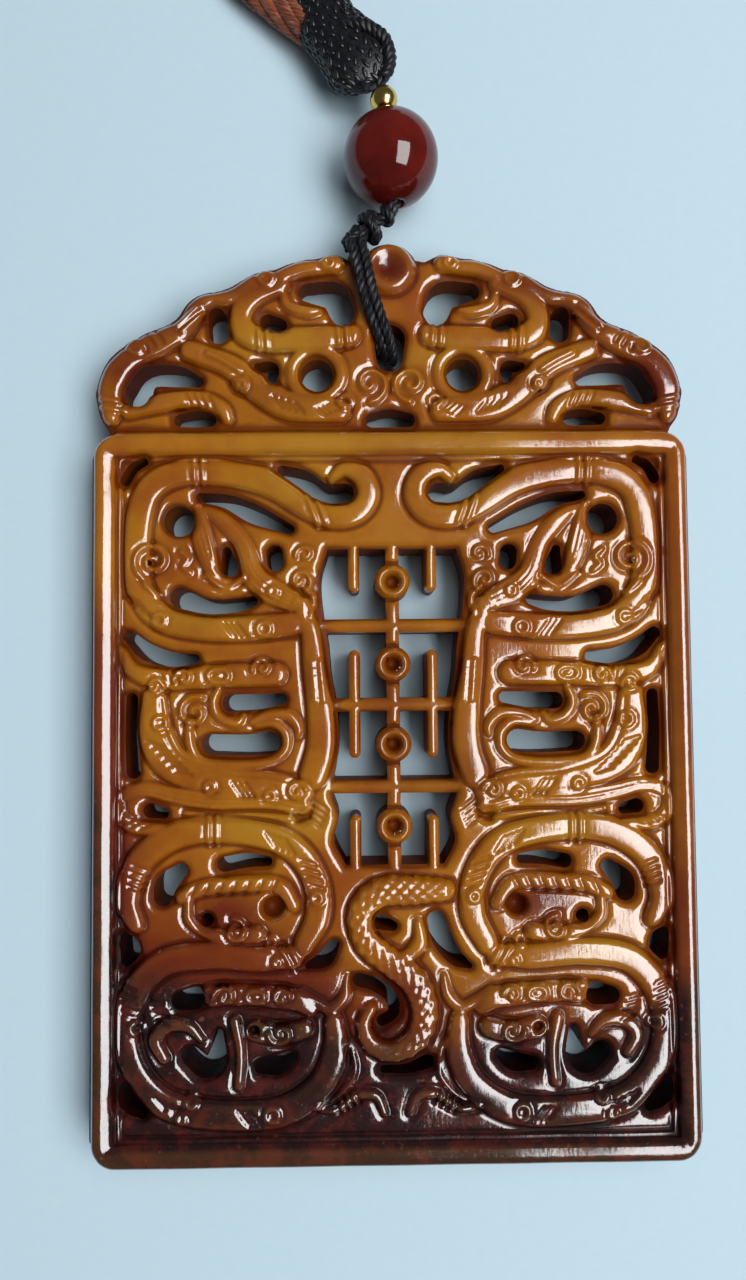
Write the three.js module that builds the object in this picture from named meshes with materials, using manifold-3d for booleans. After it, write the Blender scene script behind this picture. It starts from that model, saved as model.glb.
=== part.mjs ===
import * as THREE from 'three';
import { mergeVertices } from 'three/addons/utils/BufferGeometryUtils.js';
import Module from 'manifold-3d';

// A pierced jade plaque, carved as one piece and lying on its back, with the thin cord, the beads,
// the braided sleeve and the neck cord that it is worn on.
// Millimetres. +Z points out of the carved face and +Y towards the crest. The layout is measured from
// the middle of the body's bottom edge. Each half-layout is the left half, mirrored to the right.

// Driving sizes of the plaque
const bodyWidth = 64;
const bodyHeight = 77.2;
const totalHeight = 98.1;
const frameWidth = 3.1;
const frameTop = 7.4;
const cornerRadius = 3;
const panelBack = 0.5;
const panelTop = 6.2;
const bodyCrown = 7.2;
const crestBack = 1.8;
const crestTop = 5.2;
const crestCrown = 6.5;
const ballRadius = 3.2;
const bandFoot = 0.35;
const bandShoulder = 0.55;
const fullWidthBand = 1.1;

// Driving sizes of what the plaque hangs on
const thinCord = 1.2;
const neckCord = 4.2;
const agateRadius = 5.2;
const goldRadius = 1.5;
const beadBore = 0.9;
const beadTilt = 0.105;
const coilRadius = 22.1;
const coilCentre = [-12, 174];
const bundle = 8.5;

// Pierced openings, each a row of [x, y, radius] down its middle
const sideOpenings = [
  [[-27.2, 81.3, 1.35], [-25.9, 83.3, 1.2], [-22.9, 83.4, 1.15], [-20.7, 82.8, 0.6]],
  [[-22.6, 78.6, 0.75], [-20.9, 78.7, 0.9], [-19.5, 78.6, 0.75]],
  [[-18.6, 89.7, 1.05], [-18.5, 88.0, 1.05]],
  [[-13.2, 89.3, 0.9], [-11.9, 88.9, 0.85]],
  [[-8.8, 92.6, 1.05], [-6.0, 92.2, 1.55], [-5.1, 90.4, 1.4]],
  [[-14.3, 84.4, 0.45], [-12.8, 84.2, 0.75], [-12.7, 83.0, 0.5]],
  [[-7.9, 83.5, 1.75]],
  [[-28.3, 71.9, 0.6], [-27.6, 73.2, 0.6], [-26.4, 73.9, 0.45]],
  [[-20.4, 70.1, 0.45], [-17.5, 69.6, 0.75], [-14.8, 68.3, 1.05], [-12.5, 67.3, 0.8], [-10.9, 66.6, 0.55]],
  [[-11.7, 73.0, 0.5], [-9.3, 71.9, 1.0], [-7.2, 70.5, 1.0], [-5.0, 70.5, 1.05]],
  [[-22.6, 67.5, 1.65]],
  [[-17.6, 64.3, 0.45], [-17.3, 62.5, 0.95]],
  [[-12.5, 64.0, 0.9], [-12.4, 63.0, 0.9]],
  [[-22.5, 59.3, 1.1], [-19.6, 58.4, 0.8], [-16.6, 58.5, 0.75], [-14.9, 58.9, 0.6]],
  [[-27.9, 55.2, 0.7], [-26.0, 53.6, 0.95], [-23.5, 52.8, 0.8], [-21.0, 52.8, 0.55]],
  [[-17.2, 48.1, 0.9], [-14.5, 48.2, 0.85], [-11.8, 48.5, 0.6]],
  [[-19.3, 43.8, 1.05], [-15.5, 43.7, 1.1], [-13.2, 43.9, 1.2]],
  [[-27.6, 48.7, 0.6], [-27.7, 44.8, 0.65], [-27.4, 41.0, 0.75]],
  [[-25.6, 36.9, 0.8], [-24.3, 36.6, 0.6]],
  [[-22.5, 30.6, 0.75], [-24.0, 29.2, 1.15], [-24.3, 27.9, 1.0]],
  [[-17.9, 31.2, 0.8], [-15.6, 31.6, 0.75], [-13.4, 31.5, 0.55]],
  [[-19.7, 25.5, 0.7]],
  [[-28.3, 23.8, 0.45], [-27.7, 22.6, 1.05], [-28.1, 21.3, 0.55]],
  [[-22.5, 17.2, 0.95], [-21.0, 17.4, 1.2]],
  [[-21.4, 11.5, 1.05], [-19.9, 10.3, 1.15], [-18.7, 11.2, 1.0], [-18.5, 13.8, 0.45]],
  [[-14.1, 10.3, 0.75], [-12.2, 10.5, 1.0], [-11.0, 11.2, 0.65]],
  [[-28.3, 8.4, 0.55], [-27.8, 6.9, 1.05], [-26.4, 5.7, 0.55]],
];
const middleOpenings = [
  [[-1.9, 78.5, 0.8], [0, 78.7, 1.0], [1.9, 78.5, 0.8]],
  [[0, 87.3, 1.7], [0, 85.3, 1.45]],
  [[-9.2, 20.6, 0.35], [-7.4, 21.3, 0.85], [-6.4, 22.8, 0.55]],
  [[4.3, 25.2, 0.95], [4.9, 23.2, 1.1], [6.2, 21.3, 0.85], [7.7, 20.4, 0.35]],
  [[-1.5, 25.0, 0.8], [-0.3, 24.6, 0.55]],
  [[-3.9, 19.1, 0.7], [-2.0, 18.5, 0.75], [-0.5, 17.2, 0.65], [-0.3, 15.7, 0.6], [-1.5, 14.9, 0.6]],
  [[-1.4, 9.9, 0.4], [1.0, 9.9, 0.5], [3.2, 10.6, 0.75]],
];

// Right edge of the large pierced field in the middle, from the top down
const fieldEdge = [
  [6.9, 64.4], [7.7, 61.5], [7.5, 58], [6.9, 54.5], [6.6, 51], [6, 47.5],
  [5.8, 44], [6.2, 41], [6.6, 38.5], [5.9, 36], [6.4, 33.5], [5.2, 31],
];

// Raised bands on the crest, each a row of [x, y, half width]
const crestRim = [
  [-30.2, 79.0, 1.2], [-30.0, 81.6, 1.7], [-28.7, 84.6, 1.8], [-26.0, 86.5, 1.7], [-22.8, 88.2, 1.4],
  [-20.6, 90.8, 1.4], [-17.4, 92.0, 1.1], [-13.8, 93.7, 1.25], [-9.6, 95.0, 1.1], [-6.0, 95.6, 1.2],
];
const crestBands = [
  [
    [-4.4, 87.7, 1.35], [-9, 87.3, 1.4], [-14, 87.4, 1.5], [-16.2, 89, 1.4], [-15, 91.6, 1.15],
    [-11.6, 93.2, 0.9],
  ],
  [[-21.5, 86.0, 1.2], [-17.4, 84.4, 1.3], [-14.6, 82.2, 1.6], [-10.8, 79.9, 1.6], [-5.5, 79.4, 1.3]],
  [[-28.2, 79.5, 0.9], [-25.0, 80.3, 1.1], [-21.0, 80.7, 1.1], [-18.3, 79.7, 1.0], [-17.5, 78.6, 0.7]],
];

// Raised bodies, heads and claws of the dragons on the body
const bodyBands = [
  [
    [-6.3, 71.8, 0.6], [-5.0, 72.9, 0.9], [-3.2, 72.1, 1.3], [-2.6, 70.0, 1.4], [-4.0, 68.2, 1.4],
    [-6.6, 67.9, 1.4], [-9.4, 69.2, 1.45], [-12.8, 71.3, 1.5], [-17.0, 72.5, 1.5], [-22.0, 72.7, 1.5],
    [-25.4, 71.2, 1.5], [-26.7, 68.0, 1.5], [-27.0, 63.5, 1.5], [-26.6, 60.0, 1.5], [-24.6, 57.3, 1.5],
    [-20.5, 56.1, 1.4], [-15.0, 56.0, 1.4], [-10.6, 56.4, 1.3],
  ],
  [
    [-20.2, 69.2, 0.4], [-17.8, 67.4, 0.9], [-15.9, 65, 1.0], [-15, 62.2, 1.2], [-13.6, 60.4, 1.4],
    [-10.6, 58.8, 1.2],
  ],
  [
    [-9.6, 58.4, 1.0], [-8.7, 55.2, 1.1], [-8.3, 51.6, 1.3], [-7.7, 47.4, 1.5], [-7.6, 43.6, 1.6],
    [-8.6, 40.4, 1.5],
  ],
  [[-28.6, 54.0, 0.4], [-27.4, 51.6, 0.9], [-24.2, 50.8, 1.2], [-18.2, 51.0, 1.3], [-12.4, 51.1, 1.3]],
  [
    [-25.2, 48.6, 1.4], [-25, 44.8, 2.0], [-22.9, 41.6, 1.9], [-18, 40, 1.5], [-13, 39.6, 1.4],
    [-9.6, 38.8, 1.2],
  ],
  [
    [-27.0, 25.2, 1.0], [-28.0, 28.0, 1.4], [-26.4, 32.0, 1.5], [-22.2, 34.6, 1.5], [-16.6, 34.8, 1.5],
    [-11.2, 33.3, 1.5], [-8.5, 29.9, 1.4], [-8.1, 26.0, 1.4], [-9.6, 22.8, 1.2],
  ],
  [
    [-10.6, 21.6, 1.2], [-14.4, 21.5, 1.4], [-19.2, 21.9, 1.5], [-24.2, 21.2, 1.5], [-27.3, 18.0, 1.5],
    [-28.0, 13.6, 1.4], [-26.6, 9.4, 1.5], [-23.4, 6.6, 1.6], [-18.0, 5.6, 1.6], [-12.0, 5.9, 1.6],
    [-8.0, 8.4, 1.5], [-6.4, 12.0, 1.4], [-6.5, 15.0, 1.1],
  ],
];
const slimBands = [
  [[-20.7, 69.0, 0.5], [-20.2, 66.0, 1.1], [-19.4, 63.2, 1.0], [-18.3, 61.0, 0.7], [-16.0, 61.2, 0.5]],
  [
    [-21.5, 46.2, 0.5], [-21.4, 44.0, 0.6], [-20.2, 42.2, 0.6], [-17.0, 41.7, 0.55], [-13.4, 41.9, 0.6],
    [-11.6, 43.1, 0.65], [-11.4, 44.8, 0.65], [-12.6, 45.9, 0.6], [-14.4, 45.7, 0.45],
  ],
  [
    [-29, 38.3, 0.6], [-26.5, 39.2, 0.75], [-23, 38.5, 0.9], [-19, 37.9, 1], [-13, 37.9, 1],
    [-9.8, 37.2, 1.1],
  ],
  [[-22.4, 28.0, 0.8], [-19.8, 28.9, 0.9], [-15.8, 29.2, 0.9], [-12.2, 29.0, 0.9], [-10.7, 27.0, 0.8]],
  [[-19.4, 17.8, 1.2], [-15.0, 17.8, 1.2], [-10.6, 17.3, 1.2], [-8.9, 16.2, 0.8]],
  [[-24.1, 11.5, 0.7], [-25, 13.4, 0.8], [-23.7, 14.8, 0.8], [-21.6, 14.7, 0.7], [-20.3, 13.4, 0.5]],
  [[-14.6, 14.2, 1.2], [-12.0, 13.7, 1.2], [-9.6, 14.3, 1.1]],
];
const tail = [
  [5.2, 28.4, 1.2], [1.5, 28.4, 1.6], [-1.6, 28.2, 1.6], [-3.6, 26.2, 1.5], [-3.0, 23.2, 1.5],
  [-0.6, 21.0, 1.5], [1.9, 19.0, 1.6], [2.9, 16.0, 1.5], [2.0, 13.2, 1.4], [-0.4, 11.9, 1.2],
  [-2.7, 12.8, 1.0], [-3.4, 14.8, 0.8], [-2.6, 16.4, 0.6],
];

// Left edge of the crest from the neck up to the ball
const crestEdge = [
  [-29.6, 75.8], [-30.4, 77.5], [-31.3, 79.2], [-31.75, 81.7], [-30.9, 84.4], [-29.0, 86.4], [-27.4, 87.7],
  [-25.2, 88.6], [-23.0, 89.6], [-21.9, 91.2], [-20.4, 92.4], [-18.6, 92.7], [-17.0, 93.2], [-15.2, 94.5],
  [-13.6, 95.0], [-12.3, 95.0], [-10.9, 95.7], [-9.4, 96.2], [-7.9, 96.2], [-6.3, 96.9], [-5.0, 96.6],
  [-3.9, 96.0], [-2.4, 96.4],
];

// Lattice in the pierced field: bars across, a post up the middle, bosses on it and short strokes
const latticeBack = 1.2;
const latticeTop = 6.3;
const barRows = [56.2, 47.8, 39.2];
const bossRows = [60.9, 52.1, 43.6, 35];
const barHalf = 0.7;
const strokeHalf = 0.6;
const strokeReach = 4.1;
const strokes = [[65.2, 60.4], [48.2, 53], [47.4, 42.8], [30.4, 35.6]];
const bossProfile = [[0, 1.4], [1.9, 1.4], [1.9, 5.7], [1.5, 6.5], [1.0, 6.3], [0, 4.9]];

const wasm = await Module();
wasm.setup();

// Merges shared points and turns the faces outwards
function closedSkin(geometry) {
  geometry.deleteAttribute('normal');
  geometry.deleteAttribute('uv');
  const skin = mergeVertices(geometry, 1e-4);
  const place = skin.attributes.position;
  const index = skin.index.array;
  const corner = [new THREE.Vector3(), new THREE.Vector3(), new THREE.Vector3()];
  let volume = 0;
  for (let i = 0; i < index.length; i += 3) {
    corner.forEach((point, k) => point.fromBufferAttribute(place, index[i + k]));
    volume += corner[0].dot(corner[1].clone().cross(corner[2]));
  }
  if (volume < 0) {
    for (let i = 0; i < index.length; i += 3) {
      [index[i], index[i + 1]] = [index[i + 1], index[i]];
    }
  }
  return skin;
}

function solidOf(geometry) {
  const skin = closedSkin(geometry);
  const vertProperties = new Float32Array(skin.attributes.position.array);
  const triVerts = new Uint32Array(skin.index.array);
  return new wasm.Manifold(new wasm.Mesh({ numProp: 3, vertProperties, triVerts }));
}

function geometryOf(solid) {
  const mesh = solid.getMesh();
  const geometry = new THREE.BufferGeometry();
  geometry.setAttribute('position', new THREE.BufferAttribute(new Float32Array(mesh.vertProperties), 3));
  geometry.setIndex(new THREE.BufferAttribute(new Uint32Array(mesh.triVerts), 1));
  geometry.computeVertexNormals();
  return geometry;
}

// A skin through rings of equal count: looped into a ring, or closed by flat ends
function loft(rings, looped, endFaces) {
  const count = rings[0].length;
  const index = [];
  const spans = looped ? rings.length : rings.length - 1;
  for (let i = 0; i < spans; i++) {
    const next = (i + 1) % rings.length;
    for (let j = 0; j < count; j++) {
      const side = (j + 1) % count;
      const [a, b] = [i * count + j, i * count + side];
      const [c, d] = [next * count + j, next * count + side];
      index.push(a, b, d, a, d, c);
    }
  }
  if (!looped) {
    const far = (rings.length - 1) * count;
    endFaces.forEach(([a, b, c]) => index.push(a, c, b, far + a, far + b, far + c));
  }
  const geometry = new THREE.BufferGeometry();
  geometry.setAttribute('position', new THREE.Float32BufferAttribute(rings.flat(2), 3));
  geometry.setIndex(index);
  return geometry;
}

function fan(count) {
  return Array.from({ length: count - 2 }, (_, i) => [0, i + 1, i + 2]);
}

// Even steps down a row of [x, y, size], with the way across at each
function stepsAlong(row, perSpan) {
  const stops = row.map((spot) => new THREE.Vector3(...spot));
  const curve = new THREE.CatmullRomCurve3(stops, false, 'catmullrom');
  const spots = curve.getPoints((row.length - 1) * perSpan);
  return spots.map((spot, i) => {
    const before = spots[Math.max(i - 1, 0)];
    const after = spots[Math.min(i + 1, spots.length - 1)];
    const way = new THREE.Vector2(after.x - before.x, after.y - before.y).normalize();
    return { x: spot.x, y: spot.y, size: spot.z, wayX: way.x, wayY: way.y };
  });
}

const mirrored = (row) => row.map(([x, ...rest]) => [-x, ...rest]);
const bothSides = (rows) => [...rows, ...rows.map(mirrored)];

// Outline of an opening: up one side, round the end and back down the other,
// with the points that a tight bend would fold over left out
function openingOutline(row) {
  const roundPoints = 8;
  if (row.length === 1) {
    const [x, y, size] = row[0];
    return Array.from({ length: roundPoints }, (_, i) => {
      const turn = (2 * Math.PI * i) / roundPoints;
      return [x + size * Math.cos(turn), y + size * Math.sin(turn)];
    });
  }
  const steps = stepsAlong(row, 1);
  const left = steps.map((step) => [step.x - step.wayY * step.size, step.y + step.wayX * step.size]);
  const right = steps.map((step) => [step.x + step.wayY * step.size, step.y - step.wayX * step.size]);
  const [first, last] = [steps[0], steps.at(-1)];
  const farEnd = [last.x + last.wayX * last.size, last.y + last.wayY * last.size];
  const nearEnd = [first.x - first.wayX * first.size, first.y - first.wayY * first.size];
  const folded = 0.05;
  return [...left, farEnd, ...right.toReversed(), nearEnd].filter(([x, y]) => (
    steps.every((step) => Math.hypot(x - step.x, y - step.y) > step.size - folded)
  ));
}

// A straight cutter through the plaque, of the given outline
function cutter(edge) {
  const shape = new THREE.Shape(edge.map(([x, y]) => new THREE.Vector2(x, y)));
  const geometry = new THREE.ExtrudeGeometry(shape, { depth: frameTop + 2, bevelEnabled: false });
  geometry.translate(0, 0, -1);
  return solidOf(geometry);
}

// A band with sloping sides up to its crown, narrowed at both ends
function band(row, crownWidth, ground, crown, foot) {
  const steps = stepsAlong(row, 1);
  const tip = (step, sign) => ({
    ...step,
    x: step.x + sign * step.wayX * step.size * 0.7,
    y: step.y + sign * step.wayY * step.size * 0.7,
    size: step.size * 0.45,
  });
  const stations = [tip(steps[0], -1), ...steps, tip(steps.at(-1), 1)];
  const rings = stations.map((step) => {
    const top = ground + (crown - ground) * Math.min(1, step.size / fullWidthBand);
    const crownLine = crownWidth ? [[-crownWidth, top], [crownWidth, top]] : [[0, top]];
    const profile = [[-1, foot], ...crownLine, [1, foot]];
    return profile.map(([across, z]) => [
      step.x - step.wayY * step.size * across,
      step.y + step.wayX * step.size * across,
      z,
    ]);
  });
  return solidOf(loft(rings, false, fan(rings[0].length)));
}

// The raised ring round an opening
function ringBand(x, y, radius, half, ground, crown, foot) {
  const sides = 12;
  const rings = Array.from({ length: sides }, (_, i) => {
    const turn = (2 * Math.PI * i) / sides;
    const profile = [[-1, foot], [-bandShoulder, crown], [bandShoulder, crown], [1, foot]];
    return profile.map(([across, z]) => {
      const reach = radius + half * across;
      return [x + reach * Math.cos(turn), y + reach * Math.sin(turn), z];
    });
  });
  return solidOf(loft(rings, true));
}

// The frame: a bar rounded over its face, running round the body
function frameBar() {
  const middle = frameWidth / 2;
  const cornerSteps = 4;
  const inset = cornerRadius;
  const corners = [
    [bodyWidth / 2 - inset, inset, -Math.PI / 2],
    [bodyWidth / 2 - inset, bodyHeight - inset, 0],
    [inset - bodyWidth / 2, bodyHeight - inset, Math.PI / 2],
    [inset - bodyWidth / 2, inset, Math.PI],
  ];
  const profile = [
    [middle - 0.5, 0], [middle, 0.7], [middle, 5.2], [middle - 0.55, 6.7], [0.1, frameTop],
    [0.5 - middle, 6.7], [-middle, 5.2], [-middle, 0],
  ];
  const rings = corners.flatMap(([x, y, start]) => Array.from({ length: cornerSteps + 1 }, (_, i) => {
    const turn = start + (Math.PI / 2) * (i / cornerSteps);
    return profile.map(([out, z]) => {
      const reach = cornerRadius - middle + out;
      return [x + reach * Math.cos(turn), y + reach * Math.sin(turn), z];
    });
  }));
  return solidOf(loft(rings, true));
}

function turned(profile, sides, x, y) {
  const outline = profile.map(([radius, height]) => new THREE.Vector2(radius, height));
  const geometry = new THREE.LatheGeometry(outline, sides);
  geometry.rotateX(Math.PI / 2);
  geometry.translate(x, y, 0);
  return solidOf(geometry);
}

function block(width, height, low, high, x, y) {
  const geometry = new THREE.BoxGeometry(width, height, high - low);
  geometry.translate(x, y, (low + high) / 2);
  return solidOf(geometry);
}

function crestPlate() {
  const edge = [...crestEdge, ...mirrored(crestEdge).toReversed()];
  const shape = new THREE.Shape(edge.map(([x, y]) => new THREE.Vector2(x, y)));
  const geometry = new THREE.ExtrudeGeometry(shape, { depth: crestTop - crestBack, bevelEnabled: false });
  geometry.translate(0, 0, crestBack);
  return solidOf(geometry);
}

// A bar of the lattice, with the edges of its face taken off
function latticeBar(from, to, half) {
  const span = new THREE.Vector2(to[0] - from[0], to[1] - from[1]).normalize();
  const profile = [[-1, latticeBack], [-0.7, latticeTop], [0.7, latticeTop], [1, latticeBack]];
  const rings = [from, to].map(([x, y]) => profile.map(([across, z]) => [
    x - span.y * half * across,
    y + span.x * half * across,
    z,
  ]));
  return solidOf(loft(rings, false, fan(profile.length)));
}

function lattice() {
  const fieldReach = 8.2;
  const bossSides = 10;
  const [low, high] = [30, 66];
  const bars = barRows.map((y) => latticeBar([-fieldReach, y], [fieldReach, y], barHalf));
  const short = strokes.flatMap(([from, to]) => [-1, 1].map((side) => (
    latticeBar([side * strokeReach, from], [side * strokeReach, to], strokeHalf)
  )));
  const bosses = bossRows.map((y) => turned(bossProfile, bossSides, 0, y));
  const dimples = bossRows.map((y) => turned([[0, 4.9], [1.0, 6.3], [1.0, 9], [0, 9]], bossSides, 0, y));
  const post = latticeBar([0, low], [0, high], barHalf);
  const whole = [...bars, ...short, ...bosses].reduce((sum, piece) => sum.add(piece), post);
  return dimples.reduce((rest, piece) => rest.subtract(piece), whole);
}

function plaqueGeometry() {
  const panelInset = 1.2;
  const [panelWide, panelHigh] = [bodyWidth - 2 * panelInset, bodyHeight - 2 * panelInset];
  const panel = block(panelWide, panelHigh, panelBack, panelTop, 0, bodyHeight / 2);
  const ballProfile = [
    [0, 2.3], [2.6, 2.3], [ballRadius, 3.2], [ballRadius, 4.9], [2.7, 6.5], [2.1, 7], [0, 6.2],
  ];
  const bodyFoot = panelTop - bandFoot;
  const crestFoot = crestTop - bandFoot;
  const crestBand = (row, foot) => band(row, bandShoulder, crestTop, crestCrown, foot);
  const raised = [
    crestPlate(),
    frameBar(),
    turned(ballProfile, 16, 0, totalHeight - ballRadius),
    ...bothSides([crestRim]).map((row) => crestBand(row, crestBack + bandFoot)),
    ...bothSides(crestBands).map((row) => crestBand(row, crestFoot)),
    ...[-7.9, 7.9].map((x) => ringBand(x, 83.5, 2.6, 0.8, crestTop, crestCrown - 0.4, crestFoot)),
    ...bothSides(bodyBands).map((row) => band(row, bandShoulder, panelTop, bodyCrown, bodyFoot)),
    ...bothSides(slimBands).map((row) => band(row, 0, panelTop, bodyCrown, bodyFoot)),
    band(tail, bandShoulder, panelTop, bodyCrown, bodyFoot),
  ];
  const carved = raised.reduce((sum, piece) => sum.add(piece), panel);
  const openings = [...bothSides(sideOpenings), ...middleOpenings].map((row) => cutter(openingOutline(row)));
  const field = cutter([...fieldEdge, ...mirrored(fieldEdge).toReversed()]);
  const pierced = [...openings, field].reduce((rest, piece) => rest.subtract(piece), carved);
  return geometryOf(pierced.add(lattice()));
}

// Cords: tubes of few sides along hand-placed points
function tube(points, wide, thick, steps) {
  const sides = 8;
  const path = new THREE.CatmullRomCurve3(points.map((point) => new THREE.Vector3(...point)));
  const section = new THREE.Shape(Array.from({ length: sides }, (_, i) => {
    const turn = (2 * Math.PI * (i + 0.5)) / sides;
    return new THREE.Vector2((wide / 2) * Math.cos(turn), (thick / 2) * Math.sin(turn));
  }));
  return closedSkin(new THREE.ExtrudeGeometry(section, { steps, extrudePath: path, bevelEnabled: false }));
}

// The doubled thin cord: down the crest's face, through its hole and up behind it, between the knot's ends
const loopRoute = [
  [-3.5, 97.55, 6.6], [-3.25, 96.3, 7.5], [-2.9, 94.6, 7.75], [-2.4, 92.3, 7.5], [-1.6, 89.9, 6.9],
  [-0.7, 87.7, 6.2], [-0.1, 86.2, 4.6], [0, 85.9, 3.3], [-0.1, 86.3, 1.9], [-0.6, 87.9, 0.95],
  [-1.4, 90.4, 0.75], [-2.4, 93.4, 0.75], [-3.1, 95.6, 0.85], [-3.6, 97.0, 1.6], [-3.7, 97.5, 2.6],
];

// The neck cord's two free stretches between the sleeve and the coil
const leftRun = [
  [-12.5, 127.4, 2.3], [-16.2, 130.9, 2.15], [-20, 137.5, 2.1], [-24.4, 145.8, 2.1], [-26.4, 149.6, 2.1],
];
const rightRun = [
  [-10.95, 134, 2.4], [-11.35, 136.6, 2.2], [-9.9, 139.8, 2.1], [-6.2, 143, 2.1], [-1.6, 146.4, 2.3],
];

// Braided sleeve: [x, y, z, half width, half thickness] from its tip by the beads to its far end
const sleeveStations = [
  [-0.95, 116.5, 4.6, 0.9, 0.8], [-1.75, 117.0, 4.3, 2.5, 1.5], [-2.5, 118.2, 4.0, 3.9, 2.1],
  [-3.3, 120.4, 3.7, 4.1, 2.4], [-5.2, 122.6, 3.4, 3.6, 2.5], [-6.5, 124.1, 3.2, 3.4, 2.5],
  [-7.2, 126.3, 3.0, 2.9, 2.5], [-8.8, 129.6, 2.8, 2.7, 2.5], [-10.6, 133.4, 2.6, 2.6, 2.4],
];

function sleeveGeometry() {
  const sides = 10;
  const lean = Math.atan2(0.45, 0.89);
  const rings = sleeveStations.map(([x, y, z, wide, thick]) => Array.from({ length: sides }, (_, i) => {
    const turn = (2 * Math.PI * (i + 0.5)) / sides;
    const across = wide * Math.cos(turn);
    return [x + across * Math.cos(lean), y + across * Math.sin(lean), z + thick * Math.sin(turn)];
  }));
  return closedSkin(loft(rings, false, fan(sides)));
}

// A drilled bead, its hole along Y
function beadGeometry(radius, rows, sides) {
  const mouth = Math.asin(beadBore / radius);
  const profile = Array.from({ length: rows + 1 }, (_, i) => {
    const turn = mouth + ((Math.PI - 2 * mouth) * i) / rows;
    return new THREE.Vector2(radius * Math.sin(turn), -radius * Math.cos(turn));
  });
  return closedSkin(new THREE.LatheGeometry([...profile, profile[0]], sides));
}

function coilGeometry() {
  const half = bundle / 2;
  const sides = 8;
  const cut = half / Math.cos(Math.PI / sides);
  const profile = Array.from({ length: sides + 1 }, (_, i) => {
    const turn = (2 * Math.PI * (i + 0.5)) / sides;
    return new THREE.Vector2(coilRadius + cut * Math.cos(turn), half + cut * Math.sin(turn));
  });
  const geometry = new THREE.LatheGeometry(profile, 20);
  geometry.rotateX(Math.PI / 2);
  return closedSkin(geometry);
}

const finish = (color, roughness, metalness) => (
  new THREE.MeshStandardMaterial({ color, roughness, metalness })
);
const jade = finish(0xa4561c, 0.2, 0);
const agate = finish(0x6e100c, 0.08, 0);
const gold = finish(0xd8b04a, 0.18, 1);
const blackThread = finish(0x141316, 0.6, 0);
const brownThread = finish(0x7a3417, 0.6, 0);

function named(name, geometry, material) {
  const mesh = new THREE.Mesh(geometry, material);
  mesh.name = name;
  return mesh;
}

const group = new THREE.Group();
group.position.y = -totalHeight / 2;
group.add(named('plaque', plaqueGeometry(), jade));
group.add(named('hanging_loop', tube(loopRoute, 2 * thinCord, thinCord, 16), blackThread));

const knot = named('knot', closedSkin(new THREE.SphereGeometry(1, 9, 6)), blackThread);
knot.scale.set(3.2, 1.5, 1.6);
knot.position.set(-1.95, 99.95, 4.8);
knot.rotation.z = Math.atan2(4.1, 4.9);
group.add(knot);

const beads = new THREE.Group();
beads.position.set(0.35, 107.6, agateRadius);
beads.rotation.z = beadTilt;
beads.add(named('agate_bead', beadGeometry(agateRadius, 8, 16), agate));
const goldBead = named('gold_bead', beadGeometry(goldRadius, 5, 10), gold);
goldBead.position.y = agateRadius + goldRadius;
beads.add(goldBead);
const cordEnds = [[0, -agateRadius + 0.2, 0], [0, agateRadius + 2 * goldRadius, 0]];
beads.add(named('bead_cord', tube(cordEnds, thinCord, thinCord, 1), blackThread));
group.add(beads);

group.add(named('braided_sleeve', sleeveGeometry(), blackThread));
group.add(named('neck_cord_left', tube(leftRun, neckCord, neckCord, 6), brownThread));
group.add(named('neck_cord_right', tube(rightRun, neckCord, neckCord, 6), brownThread));
const coil = named('neck_cord_coil', coilGeometry(), brownThread);
coil.position.set(...coilCentre, 0);
group.add(coil);

export default group;
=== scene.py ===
import bpy
import math
import numpy as np
from mathutils import Matrix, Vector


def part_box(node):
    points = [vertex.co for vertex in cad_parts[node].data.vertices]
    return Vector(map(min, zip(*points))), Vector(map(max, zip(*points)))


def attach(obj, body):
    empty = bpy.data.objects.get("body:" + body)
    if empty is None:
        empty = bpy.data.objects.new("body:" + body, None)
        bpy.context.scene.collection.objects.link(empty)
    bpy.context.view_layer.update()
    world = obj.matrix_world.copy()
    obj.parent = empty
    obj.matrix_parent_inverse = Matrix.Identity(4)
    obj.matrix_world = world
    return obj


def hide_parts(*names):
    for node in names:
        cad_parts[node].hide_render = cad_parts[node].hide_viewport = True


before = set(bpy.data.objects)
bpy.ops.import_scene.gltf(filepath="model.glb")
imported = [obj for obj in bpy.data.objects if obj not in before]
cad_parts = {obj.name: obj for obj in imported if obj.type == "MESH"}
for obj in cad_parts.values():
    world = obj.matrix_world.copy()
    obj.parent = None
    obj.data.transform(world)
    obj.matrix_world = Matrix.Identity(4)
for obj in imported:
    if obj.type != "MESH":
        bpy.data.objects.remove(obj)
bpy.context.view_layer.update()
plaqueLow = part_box("plaque")[0]
mm = 0.001
print("frame loaded, nodes:", len(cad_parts))


# The layout is in millimetres from the middle of the body's bottom edge, as in the part's source
def place(points):
    spots = np.array(points, float)[:, :3] * mm
    spots[:, 1] += plaqueLow.y
    return spots


# A smooth run through listed spots of any width
def smoothRow(row, perSpan):
    spots = np.array(row, float)
    if len(spots) == 1:
        return np.vstack([spots, spots])
    run = np.vstack([2 * spots[0] - spots[1], spots, 2 * spots[-1] - spots[-2]])
    share = np.linspace(0, 1, perSpan, endpoint=False)[:, None]
    parts = []
    for before, start, end, after in zip(run, run[1:], run[2:], run[3:]):
        bend = 2 * before - 5 * start + 4 * end - after
        twist = 3 * start - before - 3 * end + after
        parts.append((2 * start + (end - before) * share + bend * share ** 2 + twist * share ** 3) / 2)
    parts.append(spots[-1:])
    return np.vstack(parts)


# The same run at even spacing
def evenRow(row, spacing):
    fine = smoothRow(row, 40)
    walked = np.r_[0, np.cumsum(np.linalg.norm(np.diff(fine[:, :3], axis=0), axis=1))]
    stops = np.linspace(0, walked[-1], max(2, int(round(walked[-1] / spacing)) + 1))
    return np.column_stack([np.interp(stops, walked, fine[:, k]) for k in range(fine.shape[1])])


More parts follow.
